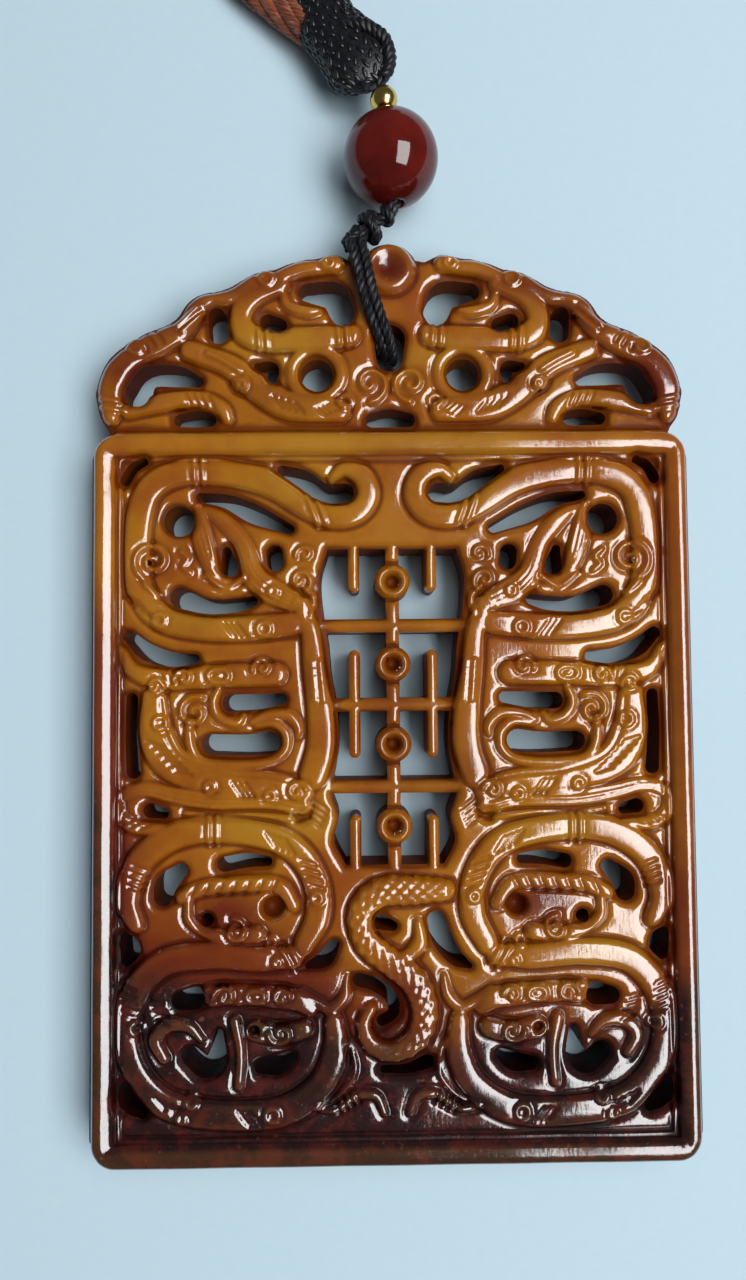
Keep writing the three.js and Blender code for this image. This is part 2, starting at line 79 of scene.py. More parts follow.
def runLength(points):
    return float(np.linalg.norm(np.diff(np.array(points), axis=0), axis=1).sum())


def mirrored(row):
    return [[-spot[0], *spot[1:]] for spot in row]


def bothSides(rows):
    return [*rows, *[mirrored(row) for row in rows]]


def linkedPiece(name, mesh, material):
    piece = bpy.data.objects.new(name, mesh)
    bpy.context.scene.collection.objects.link(piece)
    if material and not mesh.materials:
        mesh.materials.append(material)
    return piece


def dressed(piece, slot, *nodes):
    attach(piece, "root")
    if nodes:
        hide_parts(*nodes)
    return piece


# Camera
cameraFacts = {
    "spot": (-3.55, 49.77, 107.99),
    "right": (0.9999, -0.0090, 0.0139),
    "down": (-0.0084, -0.9988, -0.0481),
    "forward": (0.0143, 0.0480, -0.9987),
    "lens": 27.0,
    "sensor": 36.0,
}


def makeCamera(facts):
    data = bpy.data.cameras.new("photoCamera")
    data.sensor_fit = "VERTICAL"
    data.sensor_height = facts["sensor"]
    data.lens = facts["lens"]
    data.clip_start = 0.005
    camera = bpy.data.objects.new("photoCamera", data)
    bpy.context.scene.collection.objects.link(camera)
    spot = place([facts["spot"]])[0]
    columns = (facts["right"], [-v for v in facts["down"]], [-v for v in facts["forward"]])
    turn = Matrix([[columns[c][r] for c in range(3)] for r in range(3)]).to_4x4()
    camera.matrix_world = Matrix.Translation(spot) @ turn
    bpy.context.scene.camera = camera


makeCamera(cameraFacts)
print("camera placed")


# Shader helpers
class NodeDesk:
    def __init__(self, tree):
        self.tree = tree

    def add(self, kind, values=None, **settings):
        node = self.tree.nodes.new(kind)
        for name, value in settings.items():
            setattr(node, name, value)
        for name, value in (values or {}).items():
            if isinstance(value, bpy.types.NodeSocket):
                self.tree.links.new(value, node.inputs[name])
            else:
                node.inputs[name].default_value = value
        return node

    def math(self, operation, first, second=0.0, clamp=False):
        node = self.add("ShaderNodeMath", {0: first, 1: second}, operation=operation)
        node.use_clamp = clamp
        return node.outputs[0]

    def mix(self, share, first, second, blend="MIX"):
        node = self.add("ShaderNodeMix", data_type="RGBA", blend_type=blend)
        for index, value in ((0, share), (6, first), (7, second)):
            if isinstance(value, bpy.types.NodeSocket):
                self.tree.links.new(value, node.inputs[index])
            else:
                node.inputs[index].default_value = value
        return node.outputs[2]

    def spread(self, value, low, high, outLow=0.0, outHigh=1.0, smooth=True):
        kind = "SMOOTHSTEP" if smooth else "LINEAR"
        node = self.add("ShaderNodeMapRange", interpolation_type=kind)
        node.inputs[1].default_value = low
        node.inputs[2].default_value = high
        node.inputs[3].default_value = outLow
        node.inputs[4].default_value = outHigh
        self.tree.links.new(value, node.inputs[0])
        return node.outputs[0]

    def attribute(self, name):
        return self.add("ShaderNodeAttribute", attribute_name=name).outputs["Fac"]

    def noise(self, vector, scale, detail=3.0, rough=0.55):
        values = {"Vector": vector, "Scale": scale, "Detail": detail, "Roughness": rough}
        return self.add("ShaderNodeTexNoise", values).outputs["Fac"]


def newMaterial(name):
    material = bpy.data.materials.new(name)
    material.use_nodes = True
    material.node_tree.nodes.clear()
    return material, NodeDesk(material.node_tree)


def finishMaterial(desk, values):
    shader = desk.add("ShaderNodeBsdfPrincipled", values)
    output = desk.add("ShaderNodeOutputMaterial")
    desk.tree.links.new(shader.outputs[0], output.inputs[0])
    return shader


# Small unevenness of a hand-polished stone: a bump height and a roughness share
def makePolishGroup():
    group = bpy.data.node_groups.new("handPolish", "ShaderNodeTree")
    group.interface.new_socket("Vector", in_out="INPUT", socket_type="NodeSocketVector")
    group.interface.new_socket("Ripple Scale", in_out="INPUT", socket_type="NodeSocketFloat")
    group.interface.new_socket("Grain Scale", in_out="INPUT", socket_type="NodeSocketFloat")
    group.interface.new_socket("Height", in_out="OUTPUT", socket_type="NodeSocketFloat")
    group.interface.new_socket("Wear", in_out="OUTPUT", socket_type="NodeSocketFloat")
    desk = NodeDesk(group)
    given = desk.add("NodeGroupInput")
    result = desk.add("NodeGroupOutput")
    ripple = desk.noise(given.outputs["Vector"], given.outputs["Ripple Scale"], 2.0)
    grain = desk.noise(given.outputs["Vector"], given.outputs["Grain Scale"], 4.0, 0.65)
    height = desk.math("ADD", ripple, desk.math("MULTIPLY", grain, 0.35))
    wear = desk.spread(grain, 0.35, 0.75)
    group.links.new(height, result.inputs["Height"])
    group.links.new(wear, result.inputs["Wear"])
    return group


polishGroup = makePolishGroup()


def polished(desk, vector, ripple, grain):
    node = desk.add("ShaderNodeGroup", node_tree=polishGroup)
    node.inputs["Ripple Scale"].default_value = ripple
    node.inputs["Grain Scale"].default_value = grain
    desk.tree.links.new(vector, node.inputs["Vector"])
    return node.outputs["Height"], node.outputs["Wear"]


# Twisted fibres on a strand, from the lengths and turns that its own mesh carries
def makeFibreGroup():
    group = bpy.data.node_groups.new("twistedFibres", "ShaderNodeTree")
    for name in ("Turns Per Millimetre", "Fibres Around"):
        group.interface.new_socket(name, in_out="INPUT", socket_type="NodeSocketFloat")
    for name in ("Height", "Fleck", "Strand Tone"):
        group.interface.new_socket(name, in_out="OUTPUT", socket_type="NodeSocketFloat")
    desk = NodeDesk(group)
    given = desk.add("NodeGroupInput")
    result = desk.add("NodeGroupOutput")
    along = desk.attribute("alongStrand")
    around = desk.attribute("aroundStrand")
    strand = desk.attribute("strandNumber")
    wound = desk.math("MULTIPLY", along, given.outputs["Turns Per Millimetre"])
    phase = desk.math("ADD", desk.math("MULTIPLY", around, given.outputs["Fibres Around"]), wound)
    wave = desk.math("SINE", desk.math("MULTIPLY", phase, 2 * math.pi))
    seat = desk.add("ShaderNodeCombineXYZ", {"X": phase, "Y": desk.math("MULTIPLY", along, 0.6),
                                             "Z": strand})
    rough = desk.noise(seat.outputs[0], 1.7, 3.0)
    height = desk.math("ADD", desk.math("MULTIPLY", wave, 0.3), rough)
    tone = desk.add("ShaderNodeTexWhiteNoise", {"W": strand}, noise_dimensions="1D").outputs["Value"]
    group.links.new(height, result.inputs["Height"])
    group.links.new(desk.spread(rough, 0.45, 0.75), result.inputs["Fleck"])
    group.links.new(tone, result.inputs["Strand Tone"])
    return group


fibreGroup = makeFibreGroup()


def threadMaterial(name, facts):
    material, desk = newMaterial(name)
    fibres = desk.add("ShaderNodeGroup", node_tree=fibreGroup)
    fibres.inputs["Turns Per Millimetre"].default_value = facts["turns"]
    fibres.inputs["Fibres Around"].default_value = facts["fibres"]
    base = desk.mix(fibres.outputs["Strand Tone"], facts["dark"], facts["mid"])
    colour = desk.mix(fibres.outputs["Fleck"], base, facts["light"])
    bump = desk.add("ShaderNodeBump", {"Strength": facts["bump"], "Distance": facts["depth"] * mm})
    desk.tree.links.new(fibres.outputs["Height"], bump.inputs["Height"])
    rough = desk.spread(fibres.outputs["Fleck"], 0.0, 1.0, facts["rough"] + 0.12, facts["rough"], False)
    finishMaterial(desk, {
        "Base Color": colour, "Roughness": rough, "Normal": bump.outputs["Normal"],
        "Specular IOR Level": facts["specular"], "Sheen Weight": facts["sheen"], "Sheen Roughness": 0.4,
    })
    return material


blackThread = threadMaterial("waxedBlackThread", {
    "turns": 0.9, "fibres": 3.0, "bump": 0.7, "depth": 0.12, "rough": 0.36, "specular": 0.4, "sheen": 0.02,
    "dark": (0.003, 0.0028, 0.004, 1), "mid": (0.006, 0.0056, 0.008, 1), "light": (0.022, 0.021, 0.028, 1),
})
brownThread = threadMaterial("redBrownSilkThread", {
    "turns": 1.6, "fibres": 11.0, "bump": 0.9, "depth": 0.16, "rough": 0.5, "specular": 0.4, "sheen": 0.3,
    "dark": (0.16, 0.028, 0.010, 1), "mid": (0.30, 0.065, 0.022, 1), "light": (0.46, 0.16, 0.07, 1),
})


# Twisted strands along a path, as a node tree
def makeStrandTree():
    tree = bpy.data.node_groups.new("twistedStrands", "GeometryNodeTree")
    tree.interface.new_socket("Geometry", in_out="INPUT", socket_type="NodeSocketGeometry")
    tree.interface.new_socket("Strands", in_out="INPUT", socket_type="NodeSocketInt")
    for name in ("Lay Radius", "Strand Radius", "Pitch"):
        tree.interface.new_socket(name, in_out="INPUT", socket_type="NodeSocketFloat")
    tree.interface.new_socket("Sides", in_out="INPUT", socket_type="NodeSocketInt")
    tree.interface.new_socket("Material", in_out="INPUT", socket_type="NodeSocketMaterial")
    tree.interface.new_socket("Geometry", in_out="OUTPUT", socket_type="NodeSocketGeometry")
    desk = NodeDesk(tree)
    given = desk.add("NodeGroupInput")
    result = desk.add("NodeGroupOutput")
    copies = desk.add("GeometryNodeDuplicateElements", {"Amount": given.outputs["Strands"]},
                      domain="SPLINE")
    tree.links.new(given.outputs["Geometry"], copies.inputs["Geometry"])
    number = copies.outputs["Duplicate Index"]
    walked = desk.add("GeometryNodeSplineParameter").outputs["Length"]
    share = desk.math("DIVIDE", number, given.outputs["Strands"])
    turns = desk.math("ADD", share, desk.math("DIVIDE", walked, given.outputs["Pitch"]))
    angle = desk.math("MULTIPLY", turns, 2 * math.pi)
    normal = desk.add("GeometryNodeInputNormal").outputs[0]
    tangent = desk.add("GeometryNodeInputTangent").outputs[0]
    side = desk.add("ShaderNodeVectorMath", {0: tangent, 1: normal}, operation="CROSS_PRODUCT").outputs[0]
    scaled = []
    for direction, wave in ((normal, "COSINE"), (side, "SINE")):
        reach = desk.math("MULTIPLY", desk.math(wave, angle), given.outputs["Lay Radius"])
        node = desk.add("ShaderNodeVectorMath", {0: direction}, operation="SCALE")
        tree.links.new(reach, node.inputs["Scale"])
        scaled.append(node.outputs[0])
    offset = desk.add("ShaderNodeVectorMath", {0: scaled[0], 1: scaled[1]}, operation="ADD").outputs[0]
    numbered = desk.add("GeometryNodeStoreNamedAttribute", {"Name": "strandNumber"}, domain="POINT")
    tree.links.new(copies.outputs["Geometry"], numbered.inputs["Geometry"])
    tree.links.new(number, numbered.inputs["Value"])
    measured = desk.add("GeometryNodeStoreNamedAttribute", {"Name": "alongStrand"}, domain="POINT")
    tree.links.new(numbered.outputs[0], measured.inputs["Geometry"])
    tree.links.new(desk.math("MULTIPLY", walked, 1 / mm), measured.inputs["Value"])
    laid = desk.add("GeometryNodeSetPosition", {"Geometry": measured.outputs[0], "Offset": offset})
    ring = desk.add("GeometryNodeCurvePrimitiveCircle", {"Radius": given.outputs["Strand Radius"]})
    tree.links.new(given.outputs["Sides"], ring.inputs["Resolution"])
    around = desk.add("GeometryNodeStoreNamedAttribute", {"Name": "aroundStrand"}, domain="POINT")
    tree.links.new(ring.outputs[0], around.inputs["Geometry"])
    tree.links.new(desk.add("GeometryNodeSplineParameter").outputs["Factor"], around.inputs["Value"])
    skin = desk.add("GeometryNodeCurveToMesh", {"Fill Caps": True})
    tree.links.new(laid.outputs[0], skin.inputs["Curve"])
    tree.links.new(around.outputs[0], skin.inputs["Profile Curve"])
    smooth = desk.add("GeometryNodeSetShadeSmooth", {"Geometry": skin.outputs[0]})
    real = desk.add("GeometryNodeRealizeInstances", {"Geometry": smooth.outputs[0]})
    painted = desk.add("GeometryNodeSetMaterial", {"Geometry": real.outputs[0]})
    tree.links.new(given.outputs["Material"], painted.inputs["Material"])
    tree.links.new(painted.outputs[0], result.inputs["Geometry"])
    return tree


strandTree = makeStrandTree()


def socketName(tree, label):
    return next(item.identifier for item in tree.interface.items_tree
                if item.name == label and item.in_out == "INPUT")


# Runs a node tree on an object and keeps the result as a plain mesh
def bakedMesh(holder, tree, settings, name):
    modifier = holder.modifiers.new(tree.name, "NODES")
    modifier.node_group = tree
    for label, value in settings.items():
        modifier[socketName(tree, label)] = value
    ready = holder.evaluated_get(bpy.context.evaluated_depsgraph_get())
    mesh = bpy.data.meshes.new_from_object(ready)
    mesh.name = name
    holder.modifiers.remove(modifier)
    source = holder.data
    isCurve = holder.type == "CURVE"
    bpy.data.objects.remove(holder)
    if isCurve:
        bpy.data.curves.remove(source)
    else:
        bpy.data.meshes.remove(source)
    return mesh


def strandMesh(name, points, facts, material):
    curve = bpy.data.curves.new(name + "Path", "CURVE")
    curve.dimensions = "3D"
    spline = curve.splines.new("POLY")
    spline.points.add(len(points) - 1)
    spline.points.foreach_set("co", np.column_stack([points, np.ones(len(points))]).ravel())
    holder = bpy.data.objects.new(name + "Path", curve)
    bpy.context.scene.collection.objects.link(holder)
    return bakedMesh(holder, strandTree, {
        "Strands": facts["strands"], "Lay Radius": facts["lay"] * mm, "Strand Radius": facts["strand"] * mm,
        "Pitch": facts["pitch"] * mm, "Sides": facts["sides"], "Material": material,
    }, name)


# Neck cord: out of the sleeve, round a tied coil past the photo's edge, and back into the sleeve
neckFacts = {
    "diameter": 4.2,
    "start": [[-8.5, 124.0, 2.9], [-10.4, 125.5, 2.6]],
    "leftRun": [[-12.5, 127.4, 2.3], [-16.2, 130.9, 2.15], [-20, 137.5, 2.1], [-24.4, 145.8, 2.1],
                [-26.4, 149.6, 2.1], [-30.2, 156.4, 2.1]],
    "rightRun": [[-10.6, 132.4, 2.6], [-10.95, 134, 2.4], [-11.35, 136.6, 2.2], [-9.9, 139.8, 2.1],
                 [-6.2, 143, 2.1],
                 [-1.6, 146.4, 2.4], [3.0, 152.4, 3.6]],
    "coilCentre": (-12, 174),
    "wide": 24.2, "narrow": 19.9, "low": 2.1, "high": 6.3, "hump": 2.2,
    "startTurn": -151.6, "sweep": 1323.3, "perTurn": 60,
    "tieTurn": 60.0, "tieLift": 0.8, "tieSpread": 0.25,
    "length": 0.60, "strands": 7, "lay": 1.27, "strand": 0.82, "pitch": 26, "sides": 8,
}


def eased(value, low, high):
    share = np.clip((value - low) / (high - low), 0, 1)
    return share * share * (3 - 2 * share)


def coilTurns(facts):
    count = int(facts["sweep"] / 360 * facts["perTurn"])
    turned = np.linspace(0, facts["sweep"] / 360, count)[1:-1]
    angle = np.radians(facts["startTurn"] - 360 * turned)
    inward = eased(turned, 0.7, 1.0) - eased(turned, 2.45, 2.7)
    radius = facts["wide"] - (facts["wide"] - facts["narrow"]) * inward
    over = np.clip((turned - 2.45) / 0.25, 0, 1)
    height = facts["low"] + (facts["high"] - facts["low"]) * eased(turned, 1.45, 1.7)
    height += facts["hump"] * np.sin(np.pi * over)
    away = np.angle(np.exp(1j * (angle - np.radians(facts["tieTurn"]))))
    height += facts["tieLift"] * np.exp(-(away / facts["tieSpread"]) ** 2)
    middle = facts["coilCentre"]
    return np.column_stack([middle[0] + radius * np.cos(angle), middle[1] + radius * np.sin(angle), height])


neckRoute = [*neckFacts["start"], *neckFacts["leftRun"], *coilTurns(neckFacts).tolist(),
             *neckFacts["rightRun"][::-1]]
neckPath = place(evenRow(neckRoute, 1.0))
neckCord = linkedPiece("neckCord", strandMesh("neckCord", neckPath, neckFacts, brownThread), brownThread)
dressed(neckCord, "brown_thread", "neck_cord_left", "neck_cord_right", "neck_cord_coil")
print("neck cord", round(runLength(neckPath), 4), "m,", len(neckCord.data.polygons), "faces")


# Thread tie round the coil, wound over its two by two turns and tucked in between them
tieFacts = {"thread": 0.8, "turns": 5, "gap": 0.85, "strands": 2, "lay": 0.19, "strand": 0.21,
            "pitch": 1.6, "sides": 6, "perTurn": 40}


def tieRoute(facts, coil):
    turn = math.radians(coil["tieTurn"])
    middle = coil["coilCentre"]
    radial = (coil["wide"] + coil["narrow"]) / 2
    level = (coil["low"] + coil["high"]) / 2 + coil["tieLift"]
    half = (coil["wide"] - coil["narrow"]) / 2 + coil["diameter"] / 2 + facts["thread"] / 2
    rise = (coil["high"] - coil["low"]) / 2 + coil["diameter"] / 2 + facts["thread"] / 2
    spots = [[0, 0, 0]]
    for count in range(facts["turns"] * facts["perTurn"] + 1):
        angle = 2 * math.pi * count / facts["perTurn"]
        out, up = math.cos(angle), math.sin(angle)
        reach = (abs(out) ** 4 + abs(up) ** 4) ** -0.25
        run = (count / facts["perTurn"] - facts["turns"] / 2) * facts["gap"]
        spots.append([half * out * reach, rise * up * reach, run])
    spots.append([0, 0, 0])
    route = []
    for out, up, run in spots:
        reach = radial + out
        route.append([
            middle[0] + reach * math.cos(turn) - run * math.sin(turn),
            middle[1] + reach * math.sin(turn) + run * math.cos(turn),
            level + up,
        ])
    return place(route)


coilTie = linkedPiece("coilTie", strandMesh("coilTie", tieRoute(tieFacts, neckFacts), tieFacts,
                                            blackThread), blackThread)
dressed(coilTie, "black_thread")


# Thin waxed cord: from the sleeve through the beads and the knot, then twice through the crest's hole
thinFacts = {
    "diameter": 1.2, "apart": 0.62,
    "beads": [[-1.25, 118.4, 4.5], [-0.51, 115.7, 5.2], [0.35, 107.6, 5.2], [0.85, 102.9, 5.2]],
    "intoKnot": [[-0.1, 101.4, 5.1], [-2.2, 99.7, 5.3]],
    "front": [[-3.5, 97.55, 6.6], [-3.25, 96.3, 7.45], [-2.9, 94.6, 7.7], [-2.4, 92.3, 7.5],
              [-1.6, 89.9, 6.9],
              [-0.7, 87.7, 6.1], [-0.1, 86.2, 4.6], [0, 85.9, 3.3]],
    "behind": [[-0.1, 86.3, 1.9], [-0.6, 87.9, 0.95], [-1.4, 90.4, 0.75], [-2.4, 93.4, 0.75],
               [-3.1, 95.6, 0.85],
               [-3.6, 97.0, 1.6]],
    "aroundTop": [[-3.3, 98.6, 2.9], [-2.6, 99.7, 4.3], [-2.7, 99.4, 5.6]],
    "ending": [[-3.2, 98.6, 2.9], [-2.4, 99.8, 4.4], [-1.4, 100.6, 4.8]],
    "across": [-0.94, 0.34], "holeRow": 85.2,
    "strands": 3, "lay": 0.29, "strand": 0.32, "pitch": 2.6, "sides": 7,
}


def shifted(row, aside):
    spots = np.array(row, float)
    flat = np.array(thinFacts["across"])
    spots[:, :2] -= aside * flat * np.clip(np.abs(spots[:, 1:2] - thinFacts["holeRow"]) / 2.0, 0.6, 1)
    return spots.tolist()


apart = thinFacts["apart"]
thinRoute = [
    *thinFacts["beads"], *thinFacts["intoKnot"],
    *shifted(thinFacts["front"], -apart), *shifted(thinFacts["behind"], -apart), *thinFacts["aroundTop"],
    *shifted(thinFacts["front"], apart), *shifted(thinFacts["behind"], apart), *thinFacts["ending"],
]
thinPath = place(evenRow(thinRoute, 0.22))
hangingCord = linkedPiece("hangingCord", strandMesh("hangingCord", thinPath, thinFacts, blackThread),
                          blackThread)
dressed(hangingCord, "black_thread", "hanging_loop", "bead_cord")
print("thin cord", round(runLength(thinPath), 4), "m")


# Knot: cord wound round the line from the bead down to the crest's edge, with a second lump at its foot
knotFacts = {
    "line": [[0.75, 102.5, 5.1, 0.25], [-0.2, 101.5, 5.1, 0.5], [-1.3, 100.5, 5.0, 1.2],
             [-2.3, 99.7, 4.9, 1.35],
             [-3.2, 98.9, 4.9, 0.8], [-4.0, 98.2, 5.1, 0.75], [-4.5, 97.75, 5.3, 0.35]],
    "turns": 6.5, "perTurn": 26, "strands": 3, "lay": 0.26, "strand": 0.3, "pitch": 2.4, "sides": 7,
}


def knotRoute(facts):
    line = smoothRow(facts["line"], 40)
    count = int(facts["turns"] * facts["perTurn"])
    stops = np.linspace(0, len(line) - 1, count)
    spots = np.column_stack([np.interp(stops, np.arange(len(line)), line[:, k]) for k in range(4)])
    way = np.gradient(spots[:, :3], axis=0)
    way /= np.linalg.norm(way, axis=1)[:, None]
    side = np.cross(way, [0, 0, 1.0])
    side /= np.linalg.norm(side, axis=1)[:, None]
    lift = np.cross(side, way)
    angle = np.linspace(0, 2 * np.pi * facts["turns"], count)[:, None]
    lean = 0.55 * np.sin(angle * 0.5)
    return spots[:, :3] + spots[:, 3:] * (np.cos(angle) * side + np.sin(angle) * lift + lean * way)


knotMesh = strandMesh("cordKnot", place(knotRoute(knotFacts)), knotFacts, blackThread)
cordKnot = linkedPiece("cordKnot", knotMesh, blackThread)
dressed(cordKnot, "black_thread", "knot")


# Beads: turned on the cord's line, with a drilled hole
beadFacts = {"spot": (0.35, 107.6, 5.2), "tilt": 0.105, "bore": 0.9, "agate": 5.2, "gold": 1.5,
             "rows": 48, "sides": 72}


def beadMesh(name, radius, offset, facts):
    mouth = math.asin(facts["bore"] / radius)
    rows, sides = facts["rows"], facts["sides"]
    lip = 0.12
    profile = [(facts["bore"], radius * math.cos(mouth) - lip)]
    for i in range(rows + 1):
        turn = mouth * 1.12 + (math.pi - 2.24 * mouth) * i / rows
        profile.append((radius * math.sin(turn), radius * math.cos(turn)))
    profile.append((facts["bore"], lip - radius * math.cos(mouth)))
    points = []
    for reach, height in profile:
        for k in range(sides):
            turn = 2 * math.pi * k / sides
            points.append((reach * math.cos(turn), height + offset, reach * math.sin(turn)))
    faces = []
    count = len(profile)
    for i in range(count):
        for k in range(sides):
            after = (i + 1) % count
            beside = (k + 1) % sides
            faces.append((i * sides + k, i * sides + beside, after * sides + beside, after * sides + k))
    spots = np.array(points)
    tilt = facts["tilt"]
    turned = spots.copy()
    turned[:, 0] = spots[:, 0] * math.cos(tilt) - spots[:, 1] * math.sin(tilt) + facts["spot"][0]
    turned[:, 1] = spots[:, 0] * math.sin(tilt) + spots[:, 1] * math.cos(tilt) + facts["spot"][1]
    turned[:, 2] += facts["spot"][2]
    mesh = bpy.data.meshes.new(name)
    mesh.from_pydata(place(turned).tolist(), [], [face[::-1] for face in faces])
    mesh.polygons.foreach_set("use_smooth", [True] * len(mesh.polygons))
    return mesh


def agateMaterial():
    material, desk = newMaterial("redAgate")
    spot = desk.add("ShaderNodeTexCoord").outputs["Object"]
    cloud = desk.noise(spot, 190.0, 3.0)
    vein = desk.noise(spot, 520.0, 4.0, 0.6)
    colour = desk.mix(desk.spread(cloud, 0.35, 0.7), (0.085, 0.005, 0.003, 1), (0.15, 0.010, 0.005, 1))
    colour = desk.mix(desk.math("MULTIPLY", desk.spread(vein, 0.55, 0.8), 0.35), colour,
                      (0.22, 0.032, 0.018, 1))
    height, wear = polished(desk, spot, 260.0, 2600.0)
    bump = desk.add("ShaderNodeBump", {"Strength": 0.03, "Distance": 0.0001, "Height": height})
    rough = desk.spread(wear, 0.0, 1.0, 0.05, 0.1, False)
    finishMaterial(desk, {
        "Base Color": colour, "Roughness": rough, "Normal": bump.outputs["Normal"], "IOR": 1.54,
        "Specular IOR Level": 0.45, "Subsurface Weight": 0.25, "Subsurface Radius": (1.0, 0.12, 0.06),
        "Subsurface Scale": 0.004,
    })
    return material


def goldMaterial():
    material, desk = newMaterial("polishedGold")
    spot = desk.add("ShaderNodeTexCoord").outputs["Object"]
    height, wear = polished(desk, spot, 900.0, 5200.0)
    colour = desk.mix(wear, (0.86, 0.58, 0.17, 1), (0.72, 0.44, 0.10, 1))
    bump = desk.add("ShaderNodeBump", {"Strength": 0.12, "Distance": 0.0001, "Height": height})
    rough = desk.spread(wear, 0.0, 1.0, 0.13, 0.26, False)
    finishMaterial(desk, {
        "Base Color": colour, "Metallic": 1.0, "Roughness": rough, "Normal": bump.outputs["Normal"],
    })
    return material


agateBead = linkedPiece("agateBead", beadMesh("agateBead", beadFacts["agate"], 0, beadFacts),
                        agateMaterial())
dressed(agateBead, "agate", "agate_bead")
goldOffset = beadFacts["agate"] + beadFacts["gold"]
goldBead = linkedPiece("goldBead", beadMesh("goldBead", beadFacts["gold"], goldOffset, beadFacts),
                       goldMaterial())
dressed(goldBead, "gold", "gold_bead")
print("beads and knot made")


# Braided sleeve: a soft flat body covered with slanting stitches, and a wound rim along its lower edge
sleeveFacts = {
    "stations": [
        [-0.95, 116.5, 4.6, 0.9, 0.8], [-1.75, 117.0, 4.3, 2.5, 1.5], [-2.5, 118.2, 4.0, 3.9, 2.1],
        [-3.3, 120.4, 3.7, 4.1, 2.4], [-5.2, 122.6, 3.4, 3.6, 2.5], [-6.5, 124.1, 3.2, 3.4, 2.5],
        [-7.2, 126.3, 3.0, 2.9, 2.5], [-8.8, 129.6, 2.8, 2.7, 2.5], [-10.6, 133.4, 2.6, 2.6, 2.4],
    ],
    "lean": math.atan2(0.45, 0.89), "columns": 34, "rows": 25,
    "stitchLong": 0.62, "stitchWide": 0.25, "stitchHigh": 0.2,
    "rim": [[-4.8, 122.9, 5.3], [-3.25, 122.4, 6.0], [-1.7, 121.9, 6.0], [-0.3, 120.9, 5.85],
            [0.25, 119.6, 5.7],
            [0.35, 118.4, 5.6], [0.05, 117.4, 5.4], [-0.6, 116.8, 5.2]],
    "rimSpacing": 0.3, "strands": 3, "lay": 0.36, "strand": 0.42, "pitch": 2.1, "sides": 8,
}


def sleeveRing(station, facts):
    x, y, z, wide, thick = station
    lean = facts["lean"]
    ring = []
    for k in range(facts["columns"]):
        turn = 2 * math.pi * k / facts["columns"]
        across = wide * math.copysign(abs(math.cos(turn)) ** 0.85, math.cos(turn))
        lift = thick * math.copysign(abs(math.sin(turn)) ** 0.9, math.sin(turn))
        ring.append([x + across * math.cos(lean), y + across * math.sin(lean), max(z + lift, 0.25)])
    return ring


def sleeveBody(facts):
    stations = evenRow(facts["stations"], 1.0)
    fine = np.linspace(0, len(stations) - 1, facts["rows"])
    spots = np.column_stack([np.interp(fine, np.arange(len(stations)), stations[:, k]) for k in range(5)])
    rings = [sleeveRing(spot, facts) for spot in spots]
    columns = facts["columns"]
    points = [point for ring in rings for point in ring]
    faces = []
    for i in range(len(rings) - 1):
        for k in range(columns):
            beside = (k + 1) % columns
            faces.append((i * columns + k, (i + 1) * columns + k, (i + 1) * columns + beside,
                          i * columns + beside))
    faces.append(tuple(range(columns)))
    last = (len(rings) - 1) * columns
    faces.append(tuple(range(last + columns - 1, last - 1, -1)))
    mesh = bpy.data.meshes.new("sleeveBody")
    mesh.from_pydata(place(points).tolist(), [], faces)
    mesh.polygons.foreach_set("use_smooth", [True] * len(mesh.polygons))
    run = mesh.attributes.new("stitchRun", "FLOAT_VECTOR", "FACE")
    stitched = mesh.attributes.new("stitched", "BOOLEAN", "FACE")
    corners = np.array(points)
    for number, face in enumerate(faces[:-2]):
        i, k = divmod(number, columns)
        slant = 0.4 if k % 2 == 0 else -0.4
        down = corners[face[1]] - corners[face[0]]
        across = corners[face[3]] - corners[face[0]]
        down = down / np.linalg.norm(down)
        across = across / np.linalg.norm(across)
        run.data[number].vector = (down + slant * across).tolist()
        stitched.data[number].value = (i + k) % 2 == 0
    return mesh


